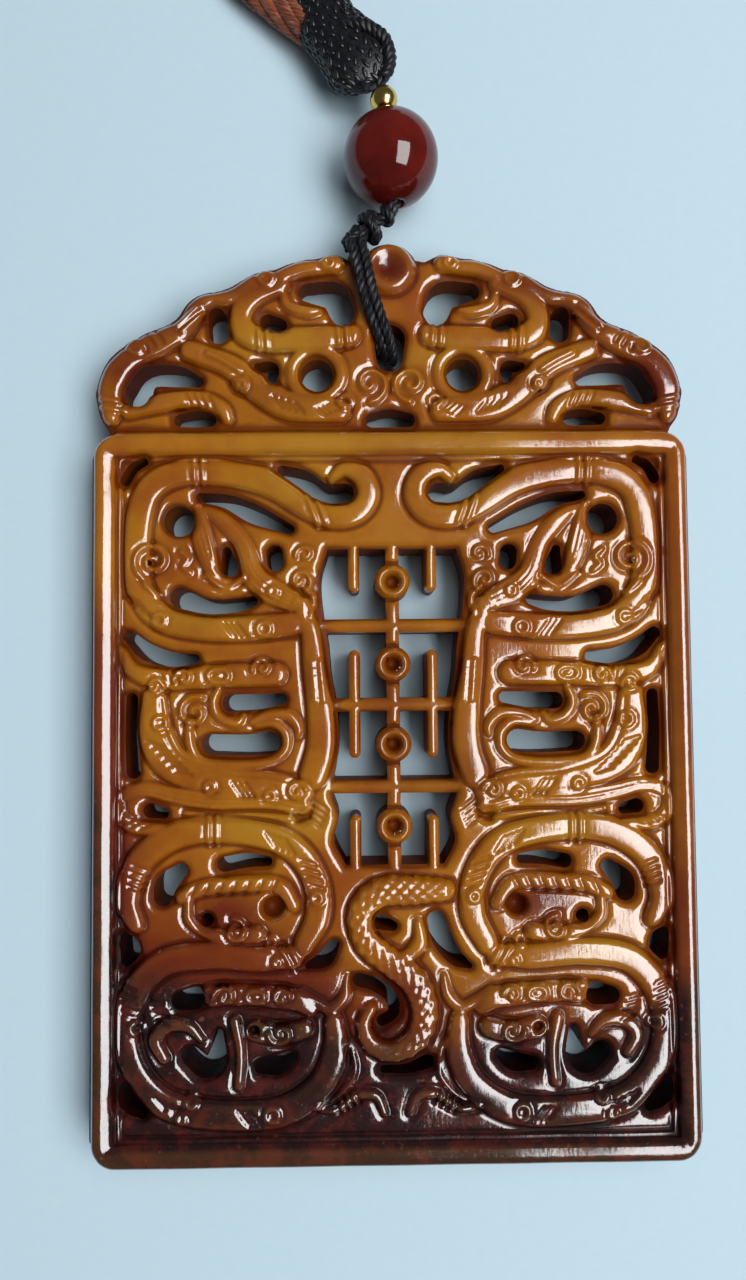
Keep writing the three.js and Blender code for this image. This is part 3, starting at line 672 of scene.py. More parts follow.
# Stitches standing on the faces of a body, as a node tree
def makeStitchTree():
    tree = bpy.data.node_groups.new("sleeveStitches", "GeometryNodeTree")
    tree.interface.new_socket("Geometry", in_out="INPUT", socket_type="NodeSocketGeometry")
    for name in ("Long", "Wide", "High"):
        tree.interface.new_socket(name, in_out="INPUT", socket_type="NodeSocketFloat")
    tree.interface.new_socket("Seed", in_out="INPUT", socket_type="NodeSocketInt")
    tree.interface.new_socket("Material", in_out="INPUT", socket_type="NodeSocketMaterial")
    tree.interface.new_socket("Geometry", in_out="OUTPUT", socket_type="NodeSocketGeometry")
    desk = NodeDesk(tree)
    given = desk.add("NodeGroupInput")
    result = desk.add("NodeGroupOutput")
    chosen = desk.add("GeometryNodeInputNamedAttribute", {"Name": "stitched"}, data_type="BOOLEAN")
    run = desk.add("GeometryNodeInputNamedAttribute", {"Name": "stitchRun"}, data_type="FLOAT_VECTOR")
    normal = desk.add("GeometryNodeInputNormal").outputs[0]
    kept = desk.add("GeometryNodeCaptureAttribute", domain="FACE")
    kept.capture_items.new("VECTOR", "Facing")
    kept.capture_items.new("VECTOR", "Run")
    tree.links.new(given.outputs["Geometry"], kept.inputs["Geometry"])
    tree.links.new(normal, kept.inputs["Facing"])
    tree.links.new(run.outputs[0], kept.inputs["Run"])
    dots = desk.add("GeometryNodeMeshToPoints", mode="FACES")
    tree.links.new(kept.outputs["Geometry"], dots.inputs["Mesh"])
    tree.links.new(chosen.outputs[0], dots.inputs["Selection"])
    upright = desk.add("FunctionNodeAlignRotationToVector", {"Vector": kept.outputs["Facing"]}, axis="Z")
    laid = desk.add("FunctionNodeAlignRotationToVector", axis="X", pivot_axis="Z")
    tree.links.new(upright.outputs[0], laid.inputs["Rotation"])
    tree.links.new(kept.outputs["Run"], laid.inputs["Vector"])
    bead = desk.add("GeometryNodeMeshUVSphere", {"Segments": 8, "Rings": 6, "Radius": 1.0})
    size = desk.add("ShaderNodeCombineXYZ")
    for axis, name in (("X", "Long"), ("Y", "Wide"), ("Z", "High")):
        tree.links.new(given.outputs[name], size.inputs[axis])
    vary = desk.add("FunctionNodeRandomValue", {2: 0.9, 3: 1.12})
    tree.links.new(given.outputs["Seed"], vary.inputs["Seed"])
    scaled = desk.add("ShaderNodeVectorMath", {0: size.outputs[0]}, operation="SCALE")
    tree.links.new(vary.outputs[1], scaled.inputs["Scale"])
    stood = desk.add("GeometryNodeInstanceOnPoints",
                     {"Points": dots.outputs[0], "Instance": bead.outputs["Mesh"]})
    tree.links.new(laid.outputs[0], stood.inputs["Rotation"])
    tree.links.new(scaled.outputs[0], stood.inputs["Scale"])
    smooth = desk.add("GeometryNodeSetShadeSmooth")
    both = desk.add("GeometryNodeJoinGeometry")
    real = desk.add("GeometryNodeRealizeInstances")
    tree.links.new(stood.outputs[0], real.inputs[0])
    tree.links.new(real.outputs[0], smooth.inputs[0])
    tree.links.new(smooth.outputs[0], both.inputs[0])
    tree.links.new(given.outputs["Geometry"], both.inputs[0])
    painted = desk.add("GeometryNodeSetMaterial", {"Geometry": both.outputs[0]})
    tree.links.new(given.outputs["Material"], painted.inputs["Material"])
    tree.links.new(painted.outputs[0], result.inputs["Geometry"])
    return tree


def braidMaterial():
    material, desk = newMaterial("blackBraid")
    spot = desk.add("ShaderNodeTexCoord").outputs["Object"]
    fibre = desk.noise(spot, 5200.0, 3.0, 0.65)
    patch = desk.noise(spot, 420.0, 2.0)
    colour = desk.mix(desk.spread(fibre, 0.4, 0.8), (0.003, 0.0028, 0.004, 1), (0.014, 0.0135, 0.018, 1))
    colour = desk.mix(desk.spread(patch, 0.45, 0.75, 0.0, 0.5), colour, (0.007, 0.0066, 0.0095, 1))
    bump = desk.add("ShaderNodeBump", {"Strength": 0.5, "Distance": 0.00008, "Height": fibre})
    finishMaterial(desk, {
        "Base Color": colour, "Roughness": desk.spread(fibre, 0.3, 0.8, 0.28, 0.44),
        "Normal": bump.outputs["Normal"],
        "Specular IOR Level": 0.6, "Sheen Weight": 0.02, "Sheen Roughness": 0.35,
    })
    return material


def makeSleeve(facts):
    holder = linkedPiece("sleeveBody", sleeveBody(facts), None)
    braid = braidMaterial()
    mesh = bakedMesh(holder, makeStitchTree(), {
        "Long": facts["stitchLong"] * mm, "Wide": facts["stitchWide"] * mm,
        "High": facts["stitchHigh"] * mm,
        "Seed": 7, "Material": braid,
    }, "braidedSleeve")
    sleeve = linkedPiece("braidedSleeve", mesh, braid)
    dressed(sleeve, "black_thread", "braided_sleeve")
    rimPath = place(evenRow(facts["rim"], facts["rimSpacing"]))
    rim = linkedPiece("sleeveRim", strandMesh("sleeveRim", rimPath, facts, blackThread), blackThread)
    dressed(rim, "black_thread")
    return sleeve, rim


braidedSleeve, sleeveRim = makeSleeve(sleeveFacts)
print("sleeve made,", len(braidedSleeve.data.polygons), "faces")


# Plaque: one carved and pierced piece, worked out as heights over a fine grid and closed to a solid
plaqueFacts = {
    "width": 64.0, "height": 77.2, "total": 98.1, "corner": 3.0, "frameWide": 3.1, "frameTop": 7.4,
    "frameFoot": 5.3,
    "barShape": ([0, 0.15, 0.5, 1.0, 1.5, 2.5, 2.75, 3.1], [5.3, 6.3, 7.0, 7.3, 7.38, 6.98, 6.6, 5.7]),
    "ground": 6.6, "lowGround": 6.45, "crown": 7.1, "crestGround": 5.95, "crestCrown": 6.5, "fullBand": 1.1,
    "ball": 3.2, "panelBack": 0.5, "crestBack": 1.8, "ballBack": 2.3, "latticeBack": 1.2,
    "step": 0.125, "rim": 1.0, "outerRim": 1.2, "faces": 180000,
}

# Pierced openings, each a row of [x, y, radius] down its middle, on the left half
sideOpenings = [
    [[-27.2, 81.3, 1.35], [-25.9, 83.3, 1.2], [-22.9, 83.4, 1.15], [-20.7, 82.8, 0.6]],
    [[-22.6, 78.6, 0.75], [-20.9, 78.7, 0.9], [-19.5, 78.6, 0.75]],
    [[-18.6, 89.7, 1.05], [-18.5, 88.0, 1.05]],
    [[-13.2, 89.3, 0.9], [-11.9, 88.9, 0.85]],
    [[-8.8, 92.6, 1.05], [-6.0, 92.2, 1.55], [-5.1, 90.4, 1.4]],
    [[-14.3, 84.4, 0.45], [-12.8, 84.2, 0.75], [-12.7, 83.0, 0.5]],
    [[-7.9, 83.5, 1.75]],
    [[-28.3, 71.9, 0.6], [-27.6, 73.2, 0.6], [-26.4, 73.9, 0.45]],
    [[-20.4, 70.1, 0.45], [-17.5, 69.6, 0.75], [-14.8, 68.3, 1.05], [-12.5, 67.3, 0.8],
     [-10.9, 66.6, 0.55]],
    [[-11.7, 73.0, 0.5], [-9.3, 71.9, 1.0], [-7.2, 70.5, 1.0], [-5.0, 70.5, 1.05]],
    [[-22.6, 67.5, 1.65]],
    [[-17.6, 64.3, 0.45], [-17.3, 62.5, 0.95]],
    [[-12.5, 64.0, 0.9], [-12.4, 63.0, 0.9]],
    [[-22.5, 59.3, 1.1], [-19.6, 58.4, 0.8], [-16.6, 58.5, 0.75], [-14.9, 58.9, 0.6]],
    [[-27.9, 55.2, 0.7], [-26.0, 53.6, 0.95], [-23.5, 52.8, 0.8], [-21.0, 52.8, 0.55]],
    [[-17.2, 48.1, 0.9], [-14.5, 48.2, 0.85], [-11.8, 48.5, 0.6]],
    [[-19.3, 43.8, 1.05], [-15.5, 43.7, 1.1], [-13.2, 43.9, 1.2]],
    [[-27.6, 48.7, 0.6], [-27.7, 44.8, 0.65], [-27.4, 41.0, 0.75]],
    [[-25.6, 36.9, 0.8], [-24.3, 36.6, 0.6]],
    [[-22.5, 30.6, 0.75], [-24.0, 29.2, 1.15], [-24.3, 27.9, 1.0]],
    [[-17.9, 31.2, 0.8], [-15.6, 31.6, 0.75], [-13.4, 31.5, 0.55]],
    [[-19.7, 25.5, 0.7]],
    [[-28.3, 23.8, 0.45], [-27.7, 22.6, 1.05], [-28.1, 21.3, 0.55]],
    [[-22.5, 17.2, 0.95], [-21.0, 17.4, 1.2]],
    [[-21.4, 11.5, 1.05], [-19.9, 10.3, 1.15], [-18.7, 11.2, 1.0], [-18.5, 13.8, 0.45]],
    [[-14.1, 10.3, 0.75], [-12.2, 10.5, 1.0], [-11.0, 11.2, 0.65]],
    [[-28.3, 8.4, 0.55], [-27.8, 6.9, 1.05], [-26.4, 5.7, 0.55]],
]
middleOpenings = [
    [[-1.9, 78.5, 0.8], [0, 78.7, 1.0], [1.9, 78.5, 0.8]],
    [[0, 87.3, 1.7], [0, 85.3, 1.45]],
    [[-9.2, 20.6, 0.35], [-7.4, 21.3, 0.85], [-6.4, 22.8, 0.55]],
    [[4.3, 25.2, 0.95], [4.9, 23.2, 1.1], [6.2, 21.3, 0.85], [7.7, 20.4, 0.35]],
    [[-1.5, 25.0, 0.8], [-0.3, 24.6, 0.55]],
    [[-3.9, 19.1, 0.7], [-2.0, 18.5, 0.75], [-0.5, 17.2, 0.65], [-0.3, 15.7, 0.6], [-1.5, 14.9, 0.6]],
    [[-1.4, 9.9, 0.4], [1.0, 9.9, 0.5], [3.2, 10.6, 0.75]],
]
fieldEdge = [
    [6.9, 64.4], [7.7, 61.5], [7.5, 58], [6.9, 54.5], [6.6, 51], [6, 47.5],
    [5.8, 44], [6.2, 41], [6.6, 38.5], [5.9, 36], [6.4, 33.5], [5.2, 31],
]
crestEdge = [
    [-29.6, 75.8], [-30.4, 77.5], [-31.3, 79.2], [-31.75, 81.7], [-30.9, 84.4], [-29.0, 86.4],
    [-27.4, 87.7],
    [-25.2, 88.6], [-23.0, 89.6], [-21.9, 91.2], [-20.4, 92.4], [-18.6, 92.7], [-17.0, 93.2], [-15.2, 94.5],
    [-13.6, 95.0], [-12.3, 95.0], [-10.9, 95.7], [-9.4, 96.2], [-7.9, 96.2], [-6.3, 96.9], [-5.0, 96.6],
    [-3.9, 96.0], [-2.4, 96.4],
]

# Raised bands, each a row of [x, y, half width]
crestBands = [
    [[-30.2, 79.0, 1.2], [-30.0, 81.6, 1.7], [-28.7, 84.6, 1.8], [-26.0, 86.5, 1.7], [-22.8, 88.2, 1.4],
     [-20.6, 90.8, 1.4], [-17.4, 92.0, 1.1], [-13.8, 93.7, 1.25], [-9.6, 95.0, 1.1], [-6.0, 95.6, 1.2]],
    [[-4.4, 87.7, 1.35], [-9, 87.3, 1.4], [-14, 87.4, 1.5], [-16.2, 89, 1.4], [-15, 91.6, 1.15],
     [-11.6, 93.2, 0.9]],
    [[-21.5, 86.0, 1.2], [-17.4, 84.4, 1.3], [-14.6, 82.2, 1.6], [-10.8, 79.9, 1.6], [-5.5, 79.4, 1.3]],
    [[-28.2, 79.5, 0.9], [-25.0, 80.3, 1.1], [-21.0, 80.7, 1.1], [-18.3, 79.7, 1.0], [-17.5, 78.6, 0.7]],
    [[-11.5, 92.2, 0.5], [-11.0, 90.9, 0.6], [-9.0, 90.3, 0.7], [-7.7, 90.4, 0.5]],
]
bodyBands = [
    [[-6.3, 71.8, 0.6], [-5.0, 72.9, 0.9], [-3.2, 72.1, 1.3], [-2.6, 70.0, 1.4], [-4.0, 68.2, 1.4],
     [-6.6, 67.9, 1.4],
     [-9.4, 69.2, 1.45], [-12.8, 71.3, 1.5], [-17.0, 72.5, 1.5], [-22.0, 72.7, 1.5], [-25.4, 71.2, 1.5],
     [-26.7, 68.0, 1.5], [-27.0, 63.5, 1.5], [-26.6, 60.0, 1.5], [-24.6, 57.3, 1.5], [-20.5, 56.1, 1.4],
     [-15.0, 56.0, 1.4], [-10.6, 56.4, 1.3]],
    [[-20.2, 69.2, 0.4], [-17.8, 67.4, 0.9], [-15.9, 65, 1.0], [-15, 62.2, 1.2], [-13.6, 60.4, 1.4],
     [-10.6, 58.8, 1.2]],
    [[-9.6, 58.4, 1.0], [-8.7, 55.2, 1.1], [-8.3, 51.6, 1.3], [-7.7, 47.4, 1.5], [-7.6, 43.6, 1.6],
     [-8.6, 40.4, 1.5]],
    [[-28.6, 54.0, 0.4], [-27.4, 51.6, 0.9], [-24.2, 50.8, 1.2], [-18.2, 51.0, 1.3], [-12.4, 51.1, 1.3]],
    [[-25.2, 48.6, 1.4], [-25, 44.8, 2.0], [-22.9, 41.6, 1.9], [-18, 40, 1.5], [-13, 39.6, 1.4],
     [-9.6, 38.8, 1.2]],
    [[-27.0, 25.2, 1.0], [-28.0, 28.0, 1.4], [-26.4, 32.0, 1.5], [-22.2, 34.6, 1.5], [-16.6, 34.8, 1.5],
     [-11.2, 33.3, 1.5], [-8.5, 29.9, 1.4], [-8.1, 26.0, 1.4], [-9.6, 22.8, 1.2]],
    [[-10.6, 21.6, 1.2], [-14.4, 21.5, 1.4], [-19.2, 21.9, 1.5], [-24.2, 21.2, 1.5], [-27.3, 18.0, 1.5],
     [-28.0, 13.6, 1.4], [-26.6, 9.4, 1.5], [-23.4, 6.6, 1.6], [-18.0, 5.6, 1.6], [-12.0, 5.9, 1.6],
     [-8.0, 8.4, 1.5], [-6.4, 12.0, 1.4], [-6.5, 15.0, 1.1]],
    [[-20.7, 69.0, 0.5], [-20.2, 66.0, 1.1], [-19.4, 63.2, 1.0], [-18.3, 61.0, 0.7], [-16.0, 61.2, 0.5]],
    [[-21.5, 46.2, 0.5], [-21.4, 44.0, 0.6], [-20.2, 42.2, 0.6], [-17.0, 41.7, 0.55], [-13.4, 41.9, 0.6],
     [-11.6, 43.1, 0.65], [-11.4, 44.8, 0.65], [-12.6, 45.9, 0.6], [-14.4, 45.7, 0.45]],
    [[-29, 38.3, 0.6], [-26.5, 39.2, 0.75], [-23, 38.5, 0.9], [-19, 37.9, 1], [-13, 37.9, 1],
     [-9.8, 37.2, 1.1]],
    [[-22.4, 28.0, 0.8], [-19.8, 28.9, 0.9], [-15.8, 29.2, 0.9], [-12.2, 29.0, 0.9], [-10.7, 27.0, 0.8]],
    [[-19.4, 17.8, 1.2], [-15.0, 17.8, 1.2], [-10.6, 17.3, 1.2], [-8.9, 16.2, 0.8]],
    [[-24.1, 11.5, 0.7], [-25, 13.4, 0.8], [-23.7, 14.8, 0.8], [-21.6, 14.7, 0.7], [-20.3, 13.4, 0.5]],
    [[-14.6, 14.2, 1.2], [-12.0, 13.7, 1.2], [-9.6, 14.3, 1.1]],
    [[-15.0, 46.1, 0.4], [-13.2, 47.0, 0.6], [-11.1, 46.8, 0.65], [-10.0, 45.5, 0.5], [-10.1, 44.5, 0.3]],
    [[-18.4, 49.6, 0.4], [-18.9, 48.0, 0.55], [-18.2, 46.6, 0.6], [-16.5, 46.0, 0.5], [-15.8, 46.9, 0.35]],
    [[-28.9, 38.2, 0.6], [-28.6, 36.2, 0.75], [-26.8, 35.2, 0.8], [-24.2, 35.3, 0.5]],
    [[-21.6, 27.4, 0.5], [-21.4, 25.4, 0.6], [-18.4, 23.9, 0.8], [-14.4, 24.0, 1.0]],
    [[-9.9, 18.1, 0.5], [-8.3, 17.0, 0.6], [-6.8, 16.3, 0.7], [-5.4, 17.5, 0.65], [-5.0, 19.6, 0.35]],
    [[-16.8, 15.2, 0.7], [-16.2, 12.0, 0.6], [-16.4, 8.6, 0.6]],
    [[-9.0, 6.3, 0.4], [-6.4, 6.0, 0.5], [-4.2, 7.4, 0.6], [-2.2, 7.4, 0.6], [-1.3, 5.6, 0.5]],
]
tailBand = [
    [5.2, 28.4, 1.2], [1.5, 28.4, 1.6], [-1.6, 28.2, 1.6], [-3.6, 26.2, 1.5], [-3.0, 23.2, 1.5],
    [-0.6, 21.0, 1.5],
    [1.9, 19.0, 1.6], [2.9, 16.0, 1.5], [2.0, 13.2, 1.4], [-0.4, 11.9, 1.2], [-2.7, 12.8, 1.0],
    [-3.4, 14.8, 0.8],
    [-2.6, 16.4, 0.6],
]
tailLobe = [[2.4, 25.0, 0.6], [2.6, 23.2, 0.9], [1.4, 21.8, 0.8], [0.0, 21.6, 0.6]]

# Lattice in the pierced field: bars across, a post up the middle, drilled bosses on it and short strokes
latticeFacts = {
    "top": 6.3, "shoulder": 0.8, "reach": 8.2, "bars": [56.2, 47.8, 39.2],
    "bosses": [60.9, 52.1, 43.6, 35.0],
    "barHalf": 0.7, "strokeHalf": 0.6, "aside": 4.1, "post": (30.0, 66.0), "bossRadius": 1.9,
    "strokes": [[65.2, 60.4], [48.2, 53], [47.4, 42.8], [30.4, 35.6]],
    "bossRing": ([0, 0.5, 1.0, 1.4, 1.9], [4.7, 4.9, 6.1, 6.5, 5.6]),
}

step = plaqueFacts["step"]
halfColumns = int(plaqueFacts["width"] / 2 / step) + 3
gridX = np.arange(-halfColumns, halfColumns + 1) * step
gridY = np.arange(-4, int(plaqueFacts["total"] / step) + 5) * step
gridShape = (len(gridY), len(gridX))


# The part of the grid near some spots, and its coordinates
def nearSpots(spots, reach):
    lowX, lowY = np.min(spots, axis=0)[:2] - reach
    highX, highY = np.max(spots, axis=0)[:2] + reach
    columns = slice(max(0, int((lowX - gridX[0]) / step)), max(0, int((highX - gridX[0]) / step) + 2))
    rows = slice(max(0, int((lowY - gridY[0]) / step)), max(0, int((highY - gridY[0]) / step) + 2))
    return (rows, columns), gridX[columns][None, :], gridY[rows][:, None]


def besideSegment(x, y, start, end):
    wayX, wayY = end[0] - start[0], end[1] - start[1]
    span = max(wayX * wayX + wayY * wayY, 1e-9)
    share = np.clip(((x - start[0]) * wayX + (y - start[1]) * wayY) / span, 0, 1)
    return np.hypot(x - start[0] - share * wayX, y - start[1] - share * wayY), share


# Depth inside a closed outline, negative outside
def depthInside(outline, x, y):
    inside = np.zeros(np.broadcast(x, y).shape, bool)
    nearest = np.full(inside.shape, 99.0)
    for start, end in zip(outline, np.roll(outline, -1, axis=0)):
        nearest = np.minimum(nearest, besideSegment(x, y, start, end)[0])
        if start[1] != end[1]:
            passes = (start[1] > y) != (end[1] > y)
            crossing = start[0] + (end[0] - start[0]) * (y - start[1]) / (end[1] - start[1])
            inside ^= passes & (x < crossing)
    return np.where(inside, nearest, -nearest)


def sinkOpening(clear, row):
    spots = smoothRow(row, 5)
    for start, end in zip(spots, spots[1:]):
        part, x, y = nearSpots([start, end], max(start[2], end[2]) + 2.0)
        gap, share = besideSegment(x, y, start, end)
        clear[part] = np.minimum(clear[part], gap - start[2] - share * (end[2] - start[2]))


def raiseBand(lift, inside, row, rise):
    spots = smoothRow(row, 8)
    for start, end in zip(spots, spots[1:]):
        part, x, y = nearSpots([start, end], max(start[2], end[2]) + 0.9)
        gap, share = besideSegment(x, y, start, end)
        half = start[2] + share * (end[2] - start[2])
        crown = rise * np.minimum(1, half / plaqueFacts["fullBand"])
        lift[part] = np.maximum(lift[part], crown * np.sqrt(np.clip(1 - (gap / half) ** 2.6, 0, 1)))
        inside[part] = np.maximum(inside[part], half - gap)


# Cut or raised lines: the nearest distance to a run of points, turned into a height by a profile
def scribe(detail, points, reach, profile):
    spots = np.array(points, float)
    part, x, y = nearSpots(spots, reach)
    nearest = np.full(np.broadcast(x, y).shape, 99.0)
    for start, end in zip(spots, spots[1:]):
        nearest = np.minimum(nearest, besideSegment(x, y, start, end)[0])
    detail[part] += profile(nearest)


def ridgeLine(wide, high):
    def profile(gap):
        beside = (gap - 2.2 * wide) / (1.0 * wide)
        return high * np.exp(-(gap / wide) ** 2) - 0.8 * high * np.exp(-beside ** 2)
    return profile


def grooveLine(wide, deep):
    return lambda gap: -deep * np.exp(-(gap / wide) ** 2)


def bothScribed(detail, points, reach, profile):
    scribe(detail, points, reach, profile)
    scribe(detail, mirrored(points), reach, profile)


def curlPoints(x, y, radius, start, turns, hand):
    share = np.linspace(0, 1, 40)
    angle = np.radians(start) + hand * 2 * np.pi * turns * share
    reach = radius * (1.08 - 0.92 * share)
    return np.column_stack([x + reach * np.cos(angle), y + reach * np.sin(angle)]).tolist()


def ringPoints(x, y, radius):
    angle = np.linspace(0, 2 * np.pi, 28)
    return np.column_stack([x + radius * np.cos(angle), y + radius * np.sin(angle)]).tolist()


# Lines beside a row at shares of its half width
def combRow(row, share):
    spots = smoothRow(row, 6)
    way = np.gradient(spots[:, :2], axis=0)
    way /= np.linalg.norm(way, axis=1)[:, None]
    return np.column_stack([spots[:, 0] - share * spots[:, 2] * way[:, 1],
                            spots[:, 1] + share * spots[:, 2] * way[:, 0]]).tolist()


# Small carved details on the left half; curls are [x, y, radius, start angle, turns, hand]
carvedFacts = {
    "curls": [
        [-2.2, 82.4, 1.9, 270, 1.5, 1], [-25.3, 63.2, 1.9, 235, 1.7, -1], [-9.3, 63.8, 0.9, 200, 1.3, -1],
        [-9.8, 61.0, 1.2, 300, 1.4, 1], [-22.0, 50.8, 1.0, 200, 1.4, -1], [-25.0, 49.9, 0.9, 340, 1.4, 1],
        [-13.8, 51.8, 1.0, 200, 1.4, -1], [-21.0, 47.2, 1.6, 60, 1.6, 1], [-10.3, 38.8, 1.0, 10, 1.3, 1],
        [-16.8, 24.4, 1.2, 100, 1.5, -1], [-17.8, 17.8, 1.1, 180, 1.4, -1], [-12.0, 17.7, 0.9, 0, 1.4, 1],
        [-12.0, 14.0, 1.2, 180, 1.4, 1],
    ],
    "rings": [
        [-4.9, 80.4, 0.7], [-27.3, 86.4, 0.8], [-13.3, 93.8, 0.75], [-6.6, 95.5, 0.6], [-16, 82, 0.5],
        [-13.6, 55.9, 0.7], [-24.6, 56.9, 0.65], [-24.5, 46.1, 0.65], [-19.3, 39.4, 0.5],
        [-13.0, 38.4, 0.5],
        [-13.0, 23.2, 0.5], [-12.3, 21.2, 0.4], [-8.2, 27.8, 0.55], [-12.9, 5.8, 0.7], [-21.2, 7.2, 0.55],
        [-22.2, 5.5, 0.45], [-26.9, 14.7, 0.6], [-12.6, 59.8, 0.45],
    ],
    "dimples": [[-9.7, 36.2, 1.2, 0.6], [-12.8, 26.7, 1.4, 1.6], [-14.8, 14.2, 0.75, 1.2]],
    "bindings": [
        [[-20.5, 74.0], [-20.4, 71.3]], [[-8.6, 70.3], [-7.4, 66.9]], [[-22.6, 88.3], [-20.3, 90.3]],
        [[-31.2, 80.3], [-28.4, 79.8]], [[-13.7, 88.7], [-13.6, 86.0]], [[-5.2, 89.0], [-5.0, 86.4]],
        [[-19.0, 36.2], [-19.0, 33.4]], [[-11.6, 22.9], [-10.2, 20.4]],
    ],
    "ticks": [
        [[-25.9, 44.2], [-24.2, 43.7], 6, [0.6, -0.62]], [[-9.9, 31.8], [-8.2, 31.2], 4, [0.3, -0.85]],
        [[-28.4, 59.6], [-26.8, 58.8], 4, [0.55, -0.6]], [[-28.5, 35.6], [-27.4, 36.0], 3, [0.9, -0.25]],
        [[-25.6, 17.4], [-24.2, 17.0], 4, [0.25, -0.7]], [[-7.9, 79.6], [-7.0, 78.8], 4, [0.5, 0.25]],
        [[-17.8, 56.6], [-16.6, 55.0], 3, [0.6, 0.0]], [[-16.9, 39.9], [-15.8, 38.2], 3, [0.6, 0.0]],
        [[-16.4, 6.2], [-15.2, 4.6], 3, [0.6, 0.0]], [[-8.3, 37.8], [-7.0, 36.8], 4, [-0.25, -0.55]],
        [[-28.4, 19.2], [-27.0, 18.6], 5, [0.05, -0.74]], [[-21.4, 28.0], [-20.8, 29.2], 7, [1.4, 0.08]],
        [[-24.9, 7.7], [-23.9, 6.5], 4, [0.8, -0.35]], [[-6.4, 6.9], [-5.9, 5.6], 4, [0.7, 0.3]],
        [[-26.9, 87.2], [-26.0, 85.8], 3, [0.85, 0.45]], [[-22.0, 81.4], [-21.4, 80.1], 4, [0.8, -0.1]],
        [[-12.6, 80.9], [-11.6, 79.7], 4, [0.75, -0.2]], [[-24.6, 51.7], [-23.9, 50.1], 3, [0.62, 0.0]],
        [[-13.4, 34.6], [-12.4, 33.0], 4, [0.62, -0.22]], [[-27.3, 31.4], [-25.9, 30.8], 4, [-0.12, -0.72]],
    ],
    "lines": [
        [[-21.8, 36.6], [-16, 36.5], [-10.4, 36.0]], [[-19.8, 61.6], [-17.7, 60.2], [-15.8, 61.4]],
        [[-22.4, 64.2], [-21.6, 63.4], [-22.2, 62.6], [-21.4, 61.9]],
        [[-26.2, 61.2], [-26.0, 60.6], [-24.7, 59.5]],
        [[-9.3, 60.2], [-8.4, 59.2], [-8.5, 57.4]], [[-5, 13], [-4.3, 10], [-6, 7.5], [-8.5, 6.3]],
        [[-19.6, 85.6], [-17.8, 84.7], [-16.2, 83.7]],
    ],
    "eyes": [[-18.4, 51.0, 1.1, 0.75], [-14.6, 17.8, 0.95, 0.7], [-16.2, 82.3, 0.75, 0.5]],
    "combed": {1: (-0.6, -0.2, 0.2, 0.6), 7: (-0.55, -0.1, 0.35), 4: (0.55,), 9: (-0.3, 0.35)},
    "dots": [[-8.55 + 0.95 * side + 0.06 * row, 52.3 - 0.78 * row] for row in range(6) for side in (0, 1)],
}


def carveDetails(facts):
    detail = np.zeros(gridShape)
    for x, y, radius, start, turns, hand in facts["curls"]:
        wide = 0.15 + 0.04 * radius
        bothScribed(detail, curlPoints(x, y, radius, start, 0.82 * turns, hand), 1.3, ridgeLine(wide, 0.34))
    for x, y, radius in facts["rings"]:
        bothScribed(detail, ringPoints(x, y, radius), 1.0, ridgeLine(0.2, 0.22))
    for ends in facts["bindings"]:
        (x0, y0), (x1, y1) = ends
        length = math.hypot(x1 - x0, y1 - y0)
        aside = np.array([-(y1 - y0), x1 - x0]) / length * 0.42
        for side in (-1, 1):
            line = (np.array(ends) + side * aside).tolist()
            bothScribed(detail, line, 1.0, ridgeLine(0.2, 0.2))
    for start, end, count, shift in facts["ticks"]:
        for number in range(count):
            line = (np.array([start, end]) + number * np.array(shift)).tolist()
            bothScribed(detail, line, 0.8, grooveLine(0.17, 0.4))
    for line in facts["lines"]:
        bothScribed(detail, smoothRow(line, 8).tolist(), 1.0, ridgeLine(0.22, 0.24))
    for x, y, wide, high in facts["eyes"]:
        oval = [[x + wide * math.cos(turn), y + high * math.sin(turn)] for turn in np.linspace(0,
                                                                                               2 * np.pi,
                                                                                               28)]
        bothScribed(detail, oval, 1.0, ridgeLine(0.2, 0.28))
        bothScribed(detail, [[x - 0.15, y], [x + 0.15, y]], 0.8,
                    lambda gap: 0.25 * np.exp(-(gap / 0.3) ** 2))
    for x, y in facts["dots"]:
        bothScribed(detail, [[x, y], [x, y]], 0.6,
                    lambda gap: 0.3 * np.sqrt(np.clip(1 - (gap / 0.42) ** 2, 0, 1)))
    for number, shares in facts["combed"].items():
        for share in shares:
            bothScribed(detail, combRow(bodyBands[number], share), 0.9, grooveLine(0.16, 0.3))
    for x, y, radius, deep in facts["dimples"]:
        bowl = lambda gap: -deep * np.clip(1 - (gap / radius) ** 2, 0, 1)
        bothScribed(detail, [[x, y], [x, y]], radius + 0.2, bowl)
    return detail


# Round scales laid over a band
def laidScales(row, spacing, radius, high):
    scales = np.zeros(gridShape)
    spots = evenRow([[x, y, 0, half] for x, y, half in row], spacing)
    way = np.gradient(spots[:, :2], axis=0)
    way /= np.linalg.norm(way, axis=1)[:, None]
    for number, (spot, ahead) in enumerate(zip(spots, way)):
        shares = (-0.72, 0.0, 0.72) if number % 2 else (-0.36, 0.36)
        for share in shares:
            x = spot[0] - share * spot[3] * ahead[1]
            y = spot[1] + share * spot[3] * ahead[0]
            part, gx, gy = nearSpots([[x, y]], radius)
            gap = np.hypot(gx - x, gy - y)
            lean = ((gx - x) * ahead[0] + (gy - y) * ahead[1]) / radius
            dome = high * np.sqrt(np.clip(1 - (gap / radius) ** 2, 0, 1)) * (0.75 + 0.25 * lean)
            scales[part] = np.maximum(scales[part], dome)
    return scales


